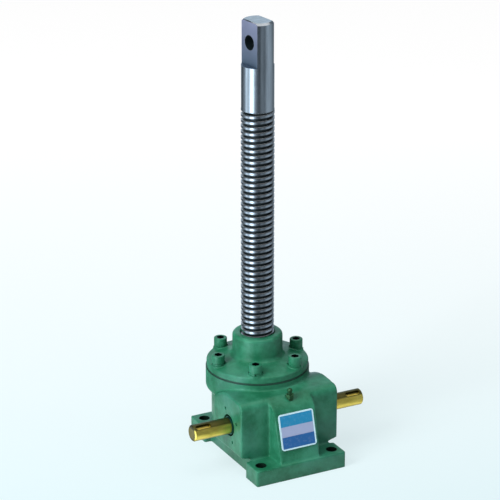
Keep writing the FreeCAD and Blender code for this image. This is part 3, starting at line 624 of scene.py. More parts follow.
def wound_thread(name, values):
    """A closed rod with a trapezoidal thread, from the thread tree."""
    tree = bpy.data.node_groups.get("Trapezoidal thread") or thread_tree()
    made = object_from(name, bmesh.new())
    run_tree(made, tree, values)
    bm = bmesh.new()
    bm.from_mesh(made.data)
    bmesh.ops.recalc_face_normals(bm, faces=bm.faces)
    bm.to_mesh(made.data)
    bm.free()
    return made


# Finishes

def finish_tree(name):
    """A material with its wiring, its shader and the object coordinates."""
    material = bpy.data.materials.get(name)
    if material:
        return material, None, None, None
    material = bpy.data.materials.new(name)
    material.use_nodes = True
    wire = Wiring(material.node_tree)
    shader = material.node_tree.nodes["Principled BSDF"]
    place = wire.add("ShaderNodeTexCoord").outputs["Object"]
    return material, wire, shader, place


def noise(wire, place, scale, detail=3.0, roughness=0.55):
    """A noise value over the object's own coordinates."""
    node = wire.add(
        "ShaderNodeTexNoise", None, Vector=place, Scale=scale, Detail=detail, Roughness=roughness
    )
    return node.outputs["Fac"]


def clouds(wire, place, scale, detail=3.0, roughness=0.55, low=0.3, high=0.7, to_low=0.0, to_high=1.0):
    """A noise value between two levels, spread over another range."""
    return wire.ranged(noise(wire, place, scale, detail, roughness), low, high, to_low, to_high)


def lathe_marks(wire, place, along, scale, distortion):
    """Fine turning marks along an axis."""
    node = wire.add(
        "ShaderNodeTexWave", {"bands_direction": along},
        Vector=place, Scale=scale, Distortion=distortion, Detail=2,
    )
    return node.outputs["Fac"]


def blended(wire, share, first, second):
    """Two colours mixed by a share."""
    mix = wire.add("ShaderNodeMix", {"data_type": "RGBA"})
    wire.feed(mix.inputs[0], share)
    wire.feed(mix.inputs[6], first if isinstance(first, bpy.types.NodeSocket) else (*first, 1))
    wire.feed(mix.inputs[7], second if isinstance(second, bpy.types.NodeSocket) else (*second, 1))
    return mix.outputs[2]


def bumped(wire, shader, layers):
    """Feeds the shader's normal with bump layers of (height, depth in metres, strength)."""
    normal = None
    for height, depth, strength in layers:
        bump = wire.add("ShaderNodeBump", None, Height=height, Distance=depth, Strength=strength)
        if normal:
            wire.feed(bump.inputs["Normal"], normal)
        normal = bump.outputs[0]
    wire.feed(shader.inputs["Normal"], normal)


def casting_paint(look):
    """Green machine paint over a sand casting, mottled and lightly orange-peeled."""
    material, wire, shader, place = finish_tree("casting_paint")
    if not wire:
        return material
    patches = clouds(wire, place, 34, 6, 0.65, low=0.40, high=0.64)
    specks = clouds(wire, place, 240, 3, 0.7, low=0.56, high=0.74)
    tone = blended(wire, wire.most(patches, wire.times(specks, 0.7)), look.paint, look.paint_light)
    grey = clouds(wire, place, 13, 4, 0.6, low=0.48, high=0.62, to_high=0.42)
    tone = blended(wire, grey, tone, look.paint_grey)

    # Grime in the seam under the cover, painted shade inside the base bolt holes, and the feet darker
    # towards the floor
    sizes = bpy.context.scene.jack_casting
    axes = wire.axes(place)
    foot = sizes.foot_thickness
    seam = wire.calc("ABSOLUTE", wire.minus(axes[2], (HOUSING_HIGH.z + GASKET_HIGH.z) / 2))
    aside = wire.minus(wire.calc("ABSOLUTE", axes[0]), sizes.hole_spacing_x / 2)
    ahead = wire.minus(wire.calc("ABSOLUTE", axes[1]), sizes.hole_spacing_y / 2)
    rim = sizes.hole_radius
    # Painted shade inside the base bolt holes
    holes = wire.ranged(wire.reach(aside, ahead), rim + 0.5 * MM, rim + 0.1 * MM)
    holes = wire.times(holes, wire.ranged(axes[2], foot + 2 * MM, foot + MM))
    grime_and_hole_shade = wire.most(wire.ranged(seam, 1.7 * MM, 0.8 * MM, 0, 0.75), holes)
    tone = blended(wire, grime_and_hole_shade, tone, look.grime_and_shade)
    # The feet are darker towards the floor
    tone = blended(wire, wire.ranged(axes[2], foot, 0, 0, 0.30), tone, look.grime_and_shade)
    wire.feed(shader.inputs["Base Color"], tone)
    wire.feed(shader.inputs["Roughness"], clouds(wire, place, 90, to_low=0.30, to_high=0.46))
    shader.inputs["Specular IOR Level"].default_value = 0.36
    shader.inputs["Coat Weight"].default_value = 0.08
    shader.inputs["Coat Roughness"].default_value = 0.25
    sand = noise(wire, place, 420, 4, 0.65)
    waves = noise(wire, place, 75, 2, 0.5)
    bumped(wire, shader, [(waves, 0.0009, 0.45), (sand, 0.00022, 0.55)])
    return material


def turned_steel(look):
    """Bright turned steel with lathe marks, painted shade at the bottom of the thread and in the cross
    hole, and painted shade and highlight on the flats.
    """
    material, wire, shader, place = finish_tree("turned_steel")
    if not wire:
        return material
    sizes = bpy.context.scene.jack_screw
    axes = wire.axes(place)
    deep = wire.minus(axes[1], SCREW_AXIS.y)
    sine, cosine = math.sin(sizes.end_turn), math.cos(sizes.end_turn)

    # Painted shade at the bottom of the thread and in the cross hole, dull and not metallic
    crest = (SCREW_HIGH.x - SCREW_LOW.x) / 2
    root = crest - 0.55 * sizes.thread_depth
    groove_shade = wire.ranged(wire.reach(axes[0], deep), crest - 0.2 * MM, root)
    thread_top = SCREW_HIGH.z - sizes.plain_length
    threaded = wire.ranged(axes[2], thread_top, thread_top - MM)
    aside = wire.weighed(axes[0], -sine, deep, cosine)
    above = wire.minus(axes[2], SCREW_HIGH.z - sizes.hole_below_top)
    bore = sizes.hole_radius
    bored = wire.ranged(wire.reach(aside, above), bore + 0.25 * MM, bore + 0.05 * MM)
    # The painted shade of the thread roots and the cross hole
    grease = wire.most(wire.times(groove_shade, threaded), bored)

    # Milled flats, painted darker low and lighter at the top: painted shade below, painted highlight above
    across = wire.calc("ABSOLUTE", wire.weighed(axes[0], cosine, deep, sine))
    flat, flat_low = sizes.flat_half_distance, SCREW_HIGH.z - sizes.flat_length
    on_flat = wire.ranged(across, flat - 0.15 * MM, flat - 0.05 * MM)
    on_flat = wire.times(on_flat, wire.ranged(axes[2], flat_low - 0.3 * MM, flat_low))
    rise = wire.ranged(axes[2], flat_low, SCREW_HIGH.z)
    milled = blended(wire, rise, look.milled, look.milled_highlight)

    stretched = wire.add("ShaderNodeMapping", None, Vector=place, Scale=(1, 1, 0.12)).outputs[0]
    streaks = clouds(wire, stretched, 160, low=0.35)
    bright = blended(wire, streaks, look.steel, [0.80 * part for part in look.steel])
    bright = blended(wire, on_flat, bright, milled)
    wire.feed(shader.inputs["Base Color"], blended(wire, grease, bright, look.groove_shade))
    wire.feed(shader.inputs["Metallic"], wire.minus(1.0, grease))
    wire.feed(shader.inputs["Specular IOR Level"], wire.ranged(bored, 0, 1, 0.5, 0.04))
    rough = clouds(wire, place, 130, to_low=0.13, to_high=0.22)
    rough = wire.plus(rough, wire.times(on_flat, 0.25))
    wire.feed(shader.inputs["Roughness"], wire.plus(rough, wire.times(grease, 0.15)))
    bumped(wire, shader, [(lathe_marks(wire, place, "Z", 900, 1.5), 0.00002, 0.35)])
    return material


def shaft_film(look):
    """Gold-coloured protective film on the turned worm shaft."""
    material, wire, shader, place = finish_tree("shaft_film")
    if not wire:
        return material
    stretched = wire.add("ShaderNodeMapping", None, Vector=place, Scale=(0.35, 1, 1)).outputs[0]
    streaks = clouds(wire, stretched, 170, 4, 0.6, low=0.42, high=0.72)
    coat = blended(wire, streaks, look.film, look.film_dark)

    # Painted dark reflection on the top and painted shade on the bottom, overspray by the housing, and old
    # oil inside it and on the end face
    axes = wire.axes(place)
    along = wire.calc("ABSOLUTE", axes[0])
    height = wire.minus(axes[2], WORM_AXIS.z)
    radius = bpy.context.scene.jack_shaft.end_radius
    above = wire.ranged(height, 0.50 * radius, 0.68 * radius, 0, 0.93)
    below = wire.ranged(height, -0.50 * radius, -0.80 * radius, 0, 0.80)
    coat = blended(wire, wire.most(above, below), coat, look.film_painted_shade)
    face, end = HOUSING_HIGH.x, SHAFT_HIGH.x
    sprayed = wire.ranged(along, face + 1.4 * MM, face + 0.6 * MM)
    coat = blended(wire, sprayed, coat, look.paint_grey)
    inside = wire.ranged(along, face - 2.6 * MM, face - 3 * MM)
    tip = wire.ranged(along, end - 0.15 * MM, end - 0.02 * MM)
    bare = wire.most(inside, wire.times(tip, 0.8))
    wire.feed(shader.inputs["Base Color"], blended(wire, bare, coat, look.oiled))
    shader.inputs["Metallic"].default_value = 1.0
    wire.feed(shader.inputs["Roughness"], clouds(wire, place, 120, to_low=0.34, to_high=0.50))
    bumped(wire, shader, [(lathe_marks(wire, place, "X", 700, 1.2), 0.00002, 0.3)])
    return material


def plain_metal(name, tone, dull, bright_share=0.82):
    """A machined metal with fine cloudy variation."""
    material, wire, shader, place = finish_tree(name)
    if not wire:
        return material
    dark = [bright_share * part for part in tone]
    share = clouds(wire, place, 180, 4, 0.6, low=0.35)
    wire.feed(shader.inputs["Base Color"], blended(wire, share, tone, dark))
    shader.inputs["Metallic"].default_value = 1.0
    rough = clouds(wire, place, 140, to_low=dull - 0.06, to_high=dull + 0.08)
    wire.feed(shader.inputs["Roughness"], rough)
    bumped(wire, shader, [(noise(wire, place, 900, 2), 0.00002, 0.3)])
    return material


def plain_soft(name, tone, dull):
    """A matt rubber or sealing sheet with a fine grain."""
    material, wire, shader, place = finish_tree(name)
    if not wire:
        return material
    light = [1.6 * part for part in tone]
    share = clouds(wire, place, 150, 4, 0.6, low=0.35)
    wire.feed(shader.inputs["Base Color"], blended(wire, share, tone, light))
    rough = clouds(wire, place, 200, to_low=dull - 0.08, to_high=dull + 0.06)
    wire.feed(shader.inputs["Roughness"], rough)
    bumped(wire, shader, [(noise(wire, place, 1200, 2), 0.00003, 0.4)])
    return material


def plate_bands(look):
    """Three plain colour bands inside a white border on the sloping nameplate."""
    material, wire, shader, place = finish_tree("plate_bands")
    if not wire:
        return material
    axes = wire.axes(place)
    half_width = (PLATE_HIGH.x - PLATE_LOW.x) / 2
    half_height = (PLATE_HIGH.z - PLATE_LOW.z) / 2
    middle = (PLATE_HIGH.z + PLATE_LOW.z) / 2
    across = wire.over(wire.calc("ABSOLUTE", axes[0]), half_width)
    rise = wire.over(wire.minus(axes[2], middle), half_height)
    upper = wire.ranged(rise, 0.28, 0.30)
    lower = wire.ranged(rise, -0.26, -0.28)
    bands = blended(wire, upper, look.plate_middle, look.plate_top)
    bands = blended(wire, lower, bands, look.plate_bottom)
    gap_x = wire.times(wire.minus(1.0, across), half_width)
    gap_z = wire.times(wire.minus(1.0, wire.calc("ABSOLUTE", rise)), half_height)
    edge = wire.ranged(wire.least(gap_x, gap_z), 2.0 * MM, 1.8 * MM)
    border = blended(wire, edge, bands, look.plate_border)
    dust = clouds(wire, place, 300, 4, 0.7, low=0.5, high=0.8, to_high=0.15)
    wire.feed(shader.inputs["Base Color"], blended(wire, dust, border, look.plate_dust))
    shader.inputs["Metallic"].default_value = 0.15
    wire.feed(shader.inputs["Roughness"], clouds(wire, place, 200, to_low=0.28, to_high=0.42))
    bumped(wire, shader, [(noise(wire, place, 260, 2), 0.00006, 0.3)])
    return material


# Pieces

class BuildHousing(bpy.types.Operator):
    """Cast housing with its feet, worm barrel, front web and flange"""

    bl_idname = "jack.build_housing"
    bl_label = "Build housing"

    def barrel(self, size):
        """The worm barrel, lofted along X because its underside rises towards its ends."""
        front, back = WORM_AXIS.y - size.barrel_front, WORM_AXIS.y + size.barrel_back
        crown_start = Vector((front + size.barrel_corner, size.barrel_top - MM))
        bulge = size.barrel_corner * (1 - math.sqrt(0.5))
        corner_middle = Vector((crown_start.x - size.barrel_corner + bulge, crown_start.y - bulge))
        crown = Vector((WORM_AXIS.y, size.barrel_top))
        back_top = Vector((back, size.barrel_back_height))
        drop = size.barrel_top - size.barrel_back_height
        back_middle = Vector(((crown.x + back) / 2, size.barrel_top - drop / 4))
        top = arc_points(Vector((front, size.barrel_shoulder)), corner_middle, crown_start)
        top += arc_points(crown, back_middle, back_top)
        end, inner = HOUSING_HIGH.x, size.body_half_width
        ends, middle = size.barrel_underside, size.body_underside
        sections = []
        for x, low in ((-end, ends), (-inner, middle), (inner, middle), (end, ends)):
            line = [Vector((back, low)), Vector((front, low))] + top
            sections.append([Vector((x, p.x, p.y)) for p in line])
        return skinned("barrel", sections)

    def web(self, size):
        """The sloping web that carries the nameplate."""
        front = WORM_AXIS.y - size.barrel_front
        slope = math.tan(size.web_slope)
        plate_middle = (PLATE_LOW + PLATE_HIGH) / 2
        thickness = (PLATE_HIGH.y - PLATE_LOW.y - slope * (PLATE_HIGH.z - PLATE_LOW.z)) / 2
        face = plate_middle.y + thickness
        toe = face - slope * (plate_middle.z - size.foot_thickness)
        low = Vector((toe, size.foot_thickness - 4 * MM))
        shoulder = Vector((face + slope * (PLATE_HIGH.z - plate_middle.z), PLATE_HIGH.z))
        crown = Vector((front + size.barrel_corner, size.web_crown))
        bulge = Vector((-1.5 * MM, 2.5 * MM))
        middle = (shoulder + crown) / 2 + bulge
        line = [Vector((WORM_AXIS.y, low.y)), low] + arc_points(shoulder, middle, crown)
        line.append(Vector((WORM_AXIS.y, size.web_crown)))

        def half_width(y):
            share = min(1, max(0, (y - low.x) / (front - low.x)))
            return size.web_nose + (size.web_root - size.web_nose) * share

        return skinned("web", [
            [Vector((side * half_width(p.x), p.x, p.y)) for p in line] for side in (-1, 1)
        ])

    def solids(self, size):
        """The overlapping solids that the casting is made of."""
        spare = 4 * MM
        half, corner, foot = size.foot_half_width, size.foot_corner, size.foot_thickness
        front, back = HOUSING_LOW.y, HOUSING_HIGH.y
        front_end, back_end = front + size.front_foot_length, back - size.back_foot_length
        body, flange = size.body_radius, size.flange_radius
        over = HOUSING_HIGH.z + spare
        wide = size.body_half_width
        worm_front = WORM_AXIS.y - size.barrel_front
        return [
            block("front_foot", (-half, front, -spare), (half, front_end, foot), corner),
            block("back_foot", (-half, back_end, -spare), (half, back, foot), corner),
            block("floor", (-wide, front + 2 * corner, -spare), (wide, back - 2 * corner, foot)),
            block("box", (-wide, worm_front, -spare), (wide, SCREW_AXIS.y, WORM_AXIS.z)),
            turned("round_body", [
                (0, -spare), (wide, -spare), (wide, foot), (body, foot + 2 * MM),
                (body, size.flange_underside - (flange - body)), (flange, size.flange_underside),
                (flange, over), (0, over),
            ], segments=128),
            self.barrel(size),
            self.web(size),
        ]

    def cutters(self, size):
        """The machined faces and bores."""
        wide = 2 * HOUSING_HIGH.y
        parts = [
            block("below", (-wide, -wide, -wide), (wide, wide, 0)),
            block("above", (-wide, -wide, HOUSING_HIGH.z), (wide, wide, wide)),
        ]
        wheel_low, wheel_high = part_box("worm_wheel")
        washer_low, washer_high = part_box("lower_thrust_housing_washer")
        bush_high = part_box("base_guide_bush")[1]
        round_wheel, over_bearing = 2.7 * MM, 7 * MM
        chamber = (wheel_high.x - wheel_low.x) / 2 + round_wheel
        ledge = washer_high.z + over_bearing
        bush, seat = bush_high.x, washer_high.x
        through = SCREW_HIGH.x + MM
        over = HOUSING_HIGH.z + MM
        parts.append(turned("chamber", [
            (0, -MM), (bush, -MM), (bush, bush_high.z), (through, bush_high.z), (through, washer_low.z),
            (seat, washer_low.z), (seat, ledge), (chamber, ledge), (chamber, over), (0, over),
        ]))
        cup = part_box("right_bearing_outer_ring")[1].z - WORM_AXIS.z
        cap = CAP_HIGH.z - WORM_AXIS.z
        end, face = HOUSING_HIGH.x + MM, CAP_LOW.x
        parts.append(laid_along_worm(turned("barrel_bore", [
            (0, -end), (cap, -end), (cap, -face), (cup, -face),
            (cup, face), (cap, face), (cap, end), (0, end),
        ], Vector())))
        for x in (-size.hole_spacing_x / 2, size.hole_spacing_x / 2):
            for y in (-size.hole_spacing_y / 2, size.hole_spacing_y / 2):
                start = Vector((x, y, -MM))
                end = start + Vector((0, 0, 2 * size.foot_thickness))
                parts.append(rod("base_hole", size.hole_radius, start, end))
        foot = (NIPPLE_LOW + NIPPLE_HIGH) / 2
        spot_radius, spot_height = 5.85 * MM, 9 * MM
        start = Vector((foot.x, foot.y, size.web_crown - MM))
        parts.append(rod("spot_face", spot_radius, start, start + Vector((0, 0, spot_height))))
        return parts

    def execute(self, context):
        size = context.scene.jack_casting
        casting = cast(joined("housing_casting", self.solids(size)), size.grain, size.softening)
        for cutter in self.cutters(size):
            combined(casting, cutter, "DIFFERENCE")
        finished(casting, "base", casting_paint(context.scene.jack_finish), ["housing"])
        return {"FINISHED"}


class BuildCover(bpy.types.Operator):
    """Cast cover with its neck and screw seats"""

    bl_idname = "jack.build_cover"
    bl_label = "Build cover"

    def execute(self, context):
        size = context.scene.jack_cover
        up = Vector((0, 0, 1))
        low, top = GASKET_HIGH.z, COVER_HIGH.z
        rim_top = low + size.rim_thickness
        rim, neck, mouth = GASKET_HIGH.x, size.neck_radius, size.mouth_radius
        seat_height = WASHER_LOW.z
        spare = 3 * MM
        disc = [
            (0, low - spare), (rim, low - spare), (rim, rim_top, size.rim_edge),
            (neck, rim_top + size.cone_height, size.neck_root), (neck, top, size.neck_edge), (0, top),
        ]
        circle = FASTENER_HIGH.x - size.head_radius
        feet = round_places(SCREW_AXIS, circle, size.count, low - spare)
        pad_top = up * (seat_height + 2 * spare - low)
        solids = [turned("disc", disc, segments=160)]
        solids += [rod("pad", size.seat_radius, foot, foot + pad_top) for foot in feet]
        cover = cast(joined("cover_casting", solids), size.grain, size.softening)
        edge = rod("edge", rim, SCREW_AXIS + up * low, SCREW_AXIS + up * top, 160)
        combined(cover, edge, "INTERSECT")
        for foot in feet:
            hole = rod("hole", size.screw_radius + 0.5 * MM, foot, foot + up * (8 * spare))
            combined(cover, hole, "DIFFERENCE")
            seat = foot + up * (seat_height - foot.z)
            face = rod("face", size.seat_radius + 0.15 * MM, seat, seat + up * (4 * spare))
            guard = rod("guard", neck + MM, SCREW_AXIS, SCREW_AXIS + up * top, 96)
            combined(cover, combined(face, guard, "DIFFERENCE"), "DIFFERENCE")
        washer_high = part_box("upper_thrust_housing_washer")[1]
        spigot_gap = GASKET_HIGH.x - (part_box("worm_wheel")[1].x + 2.6 * MM)
        spigot, floor = COVER_HIGH.x - spigot_gap, COVER_LOW.z
        shoulder = [(0, floor), (spigot, floor), (spigot, low + MM), (0, low + MM)]
        combined(cover, turned("spigot", shoulder), "UNION")
        bearing, bush = washer_high.x, BUSH_HIGH.x
        over = top + 0.2 * MM
        bore = [
            (0, floor - MM), (bearing, floor - MM), (bearing, washer_high.z), (bush, washer_high.z),
            (bush, BUSH_HIGH.z), (mouth, BUSH_HIGH.z), (mouth, top - MM),
            (mouth + 1.2 * MM, over), (0, over),
        ]
        combined(cover, turned("bore", bore), "DIFFERENCE")
        finished(cover, "base", casting_paint(context.scene.jack_finish), ["top_cover"])
        return {"FINISHED"}


class BuildFasteners(bpy.types.Operator):
    """Painted socket head screws and spring washers round the cover"""

    bl_idname = "jack.build_fasteners"
    bl_label = "Build cover screws"

    def blacken_sockets(self, screw, size, top):
        """Gives the inside of the sockets the black oxide of the unpainted screw."""
        oxide = bpy.context.scene.jack_finish.black_oxide
        screw.data.materials.append(plain_metal("black_oxide", oxide, 0.45))
        centres = round_places(SCREW_AXIS, FASTENER_HIGH.x - size.head_radius, size.count)
        for face in screw.data.polygons:
            flat = face.center * Vector((1, 1, 0))
            near = min((flat - centre).length for centre in centres)
            if near < size.socket_radius and top - 2 * size.socket_depth < face.center.z < top - 0.05 * MM:
                face.material_index = 1

    def execute(self, context):
        size = context.scene.jack_cover
        paint = casting_paint(context.scene.jack_finish)
        tree = ring_tree()
        values = {
            "Count": size.count, "Radius": FASTENER_HIGH.x - size.head_radius,
            "Centre": SCREW_AXIS, "Material": paint,
        }
        low, under, top = FASTENER_LOW.z, WASHER_HIGH.z, FASTENER_HIGH.z
        shank, head, socket = size.screw_radius, size.head_radius, size.socket_radius
        outline = [
            (0, low), (shank - MM, low), (shank, low + MM), (shank, under),
            (head, under, 0.3 * MM), (head, top, size.head_edge), (0, top),
        ]
        screw = turned("cover_screw_set", outline, Vector(), 40)
        floor = top - size.socket_depth
        loops = [
            round_places(Vector(), reach, 6, height)
            for reach, height in (
                (0.2 * socket, floor - 1.2 * MM), (socket, floor),
                (socket, top - 0.4 * MM), (socket + 0.5 * MM, top + 0.1 * MM),
            )
        ]
        combined(screw, skinned("socket", loops), "DIFFERENCE")
        run_tree(screw, tree, values)
        finished(screw, "base", paint, ["cover_screws"])
        self.blacken_sockets(screw, size, top)

        inner, outer = shank + 0.25 * MM, WASHER_HIGH.x - FASTENER_HIGH.x + head
        rise, gap, steps = 0.12 * MM, math.radians(12), 40
        bottom, lid = WASHER_LOW.z + rise, under - rise
        loops = []
        for n in range(steps + 1):
            share = n / steps
            turn = gap / 2 + (2 * math.pi - gap) * share
            lift = rise * (2 * share - 1)
            section = [(inner, bottom), (outer, bottom), (outer, lid), (inner, lid)]
            loops.append([Vector((r * math.cos(turn), r * math.sin(turn), z + lift)) for r, z in section])
        washer = skinned("spring_washer_set", loops)
        run_tree(washer, tree, values)
        finished(washer, "base", paint, ["cover_spring_washers"])
        return {"FINISHED"}


class BuildLiftingScrew(bpy.types.Operator):
    """Trapezoidal lifting screw with its flatted and cross-drilled end"""

    bl_idname = "jack.build_lifting_screw"
    bl_label = "Build lifting screw"

    def execute(self, context):
        size = context.scene.jack_screw
        steel = turned_steel(context.scene.jack_finish)
        crest = (SCREW_HIGH.x - SCREW_LOW.x) / 2 - 0.02 * MM
        low = SCREW_LOW.z + size.foot_chamfer
        high = SCREW_HIGH.z - size.plain_length - MM
        turns = math.ceil((high - low) / size.lead) + 4
        root = crest - size.thread_depth
        screw = wound_thread("lifting_screw_threaded", {
            "Lead": size.lead, "Crest radius": crest, "Root radius": root, "End radius": crest,
            "Crest width": size.crest_width, "Flank width": size.flank_width, "Low": low, "High": high,
            "Fade": 0.45 * size.lead, "Turns": turns, "Segments": 72, "Material": steel,
        })
        screw.data.transform(Matrix.Translation(SCREW_AXIS))
        inside, hair = 3 * MM, 0.01 * MM
        foot = turned("foot", [
            (0, SCREW_LOW.z), (crest - size.foot_chamfer, SCREW_LOW.z), (crest - hair, low),
            (root - MM, low + inside), (0, low + inside),
        ], segments=72)
        plain, bevel, soft = size.plain_radius, size.top_chamfer, 0.6 * MM
        top = SCREW_HIGH.z
        end = turned("end", [
            (0, high - inside), (root - MM, high - inside), (crest - hair, high), (plain, high + MM),
            (plain, top - bevel, soft), (plain - bevel, top, soft), (0, top),
        ], segments=96)
        spin = Matrix.Rotation(size.end_turn, 4, "Z")
        reach = 2 * plain
        flat, slope = size.flat_half_distance, 0.4 * bevel
        heights = [
            (reach, high - 2 * inside), (reach, top - size.flat_length), (flat, top - size.flat_length),
            (flat, top - slope), (flat - slope, top + 0.02 * MM),
        ]
        jaws = skinned("jaws", [
            [Vector((x, y, z)) for x, y in ((-half, -reach), (half, -reach), (half, reach), (-half, reach))]
            for half, z in heights
        ])
        jaws.data.transform(Matrix.Translation(SCREW_AXIS) @ spin)
        combined(end, jaws, "INTERSECT")
        hole_height = top - size.hole_below_top
        near, far = Vector((-reach, 0, hole_height)), Vector((reach, 0, hole_height))
        hole = rod("cross_hole", size.hole_radius, near, far, 64)
        hole.data.transform(Matrix.Translation(SCREW_AXIS) @ spin)
        combined(end, hole, "DIFFERENCE")
        combined(screw, foot, "UNION")
        combined(screw, end, "UNION")
        finished(screw, "screw", steel, ["lifting_screw"])
        return {"FINISHED"}


class BuildWormShaft(bpy.types.Operator):
    """Worm shaft with its thread, bearing seats, ends and keyways"""

    bl_idname = "jack.build_worm_shaft"
    bl_label = "Build worm shaft"

    def keyway(self, size, side):
        """A round-ended cutter on the upper side of one shaft end."""
        end = SHAFT_HIGH.x - size.keyway_gap
        near, half = end - size.keyway_length, size.keyway_half_width
        corners = ((near, -half), (end, -half), (end, half), (near, half))
        plan = softened([(x, y, 0.999 * half) for x, y in corners])
        floor = WORM_AXIS.z + size.end_radius - size.keyway_depth
        lip = WORM_AXIS.z + size.end_radius + 2 * MM
        made = skinned("keyway", [
            [Vector((side * p.x, WORM_AXIS.y + p.y, z)) for p in plan] for z in (floor, lip)
        ])
        turn = Matrix.Rotation(size.keyway_turn, 4, "X")
        made.data.transform(Matrix.Translation(WORM_AXIS) @ turn @ Matrix.Translation(-WORM_AXIS))
        return made

    def execute(self, context):
        size = context.scene.jack_shaft
        film = shaft_film(context.scene.jack_finish)
        reach, root = size.thread_half_length + size.lead / 2, size.root_radius
        turns = math.ceil(2 * reach / size.lead) + 4
        shaft = wound_thread("worm_shaft_turned", {
            "Lead": size.lead, "Crest radius": size.tip_radius, "Root radius": root, "End radius": root,
            "Crest width": size.crest_width, "Flank width": size.flank_width, "Low": -reach, "High": reach,
            "Fade": 0.7 * size.lead, "Turns": turns, "Segments": 64, "Material": film,
        })
        laid_along_worm(shaft)
        cone_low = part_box("right_bearing_inner_ring")[0].x
        cap_face = CAP_LOW.x
        barrel_end = HOUSING_HIGH.x
        tip = SHAFT_HIGH.x
        collar, bearing, seal = size.collar_radius, size.bearing_radius, size.seal_radius
        free, bevel = size.end_radius, size.end_chamfer
        sunk = 2 * MM
        half = [
            (root - 0.01 * MM, reach), (collar, reach + sunk), (collar, cone_low), (bearing, cone_low),
            (bearing, cap_face), (seal, cap_face), (seal, barrel_end), (free, barrel_end),
            (free, tip - bevel), (free - bevel, tip),
        ]
        for side in (-1, 1):
            outline = [(0, side * (reach - sunk)), (root - sunk, side * (reach - sunk))]
            outline += [(r, side * x) for r, x in half] + [(0, side * tip)]
            journal = laid_along_worm(turned("journal", outline, Vector(), 64))
            combined(journal, self.keyway(size, side), "DIFFERENCE")
            combined(shaft, journal, "UNION")
        finished(shaft, "worm", film, ["worm_shaft"])
        return {"FINISHED"}


class BuildNipple(bpy.types.Operator):
    """Grease nipple on the crown of the web"""

    bl_idname = "jack.build_nipple"
    bl_label = "Build grease nipple"

    def execute(self, context):
        foot = (NIPPLE_LOW + NIPPLE_HIGH) / 2 * Vector((1, 1, 0))
        low, top = NIPPLE_LOW.z, NIPPLE_HIGH.z
        seat = low + 8 * MM
        collar = seat + 4 * MM
        across, bevel = NIPPLE_HIGH.x - foot.x, 0.4 * MM
        hexagon = (
            (0.93 * across, seat), (across, seat + bevel), (across, collar - bevel), (0.93 * across, collar)
        )
        loops = [round_places(foot, reach, 6, height) for reach, height in hexagon]
        nipple = skinned("grease_nipple_turned", loops)
        shank, waist, ball, mouth = 3.9 * MM, 2.5 * MM, 3.25 * MM, 1.75 * MM
        stem = turned("stem", [
            (0, low), (shank, low), (shank, seat + MM), (waist, seat + 2 * MM),
            (waist, collar + 3.2 * MM, 0.8 * MM), (ball, collar + 4.4 * MM, 0.4 * MM),
            (ball, collar + 5.6 * MM, 0.4 * MM), (mouth, top, 0.3 * MM), (0, top),
        ], foot, 32)
        combined(nipple, stem, "UNION")
        metal = plain_metal("nipple_plating", context.scene.jack_finish.nipple, 0.45)
        finished(nipple, "base", metal, ["grease_nipple"])
        return {"FINISHED"}


class FinishInnerParts(bpy.types.Operator):
    """Finishes of the parts that keep their CAD shape"""

    bl_idname = "jack.finish_inner_parts"
    bl_label = "Finish inner parts"

    def execute(self, context):
        look = context.scene.jack_finish
        paint = casting_paint(look)
        bronze = plain_metal("machined_bronze", look.bronze, 0.32)
        ground = plain_metal("ground_steel", look.ground, 0.22)
        polished = plain_metal("polished_rollers", look.polished, 0.14)
        brass = plain_metal("brass_cage", look.brass, 0.34)
        rubber = plain_soft("painted_seal", look.seal, 0.55)
        paper = plain_soft("gasket_sheet", look.gasket, 0.8)
        finishes = {
            "cover_gasket": paper, "neck_guide_bush": bronze, "base_guide_bush": bronze,
            "worm_wheel": bronze, "nameplate": plate_bands(look),
        }
        for side in ("left", "right"):
            finishes[side + "_bearing_cap"] = paint
            finishes[side + "_oil_seal"] = rubber
            finishes[side + "_bearing_outer_ring"] = ground
            finishes[side + "_bearing_inner_ring"] = ground
            finishes[side + "_bearing_rollers"] = polished
            finishes[side + "_bearing_cage"] = ground
        for side in ("lower", "upper"):
            finishes[side + "_thrust_housing_washer"] = ground
            finishes[side + "_thrust_shaft_washer"] = ground
            finishes[side + "_thrust_rollers"] = polished
            finishes[side + "_thrust_cage"] = brass
        for node, material in finishes.items():
            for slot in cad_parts[node].material_slots:
                slot.material = material
        return {"FINISHED"}


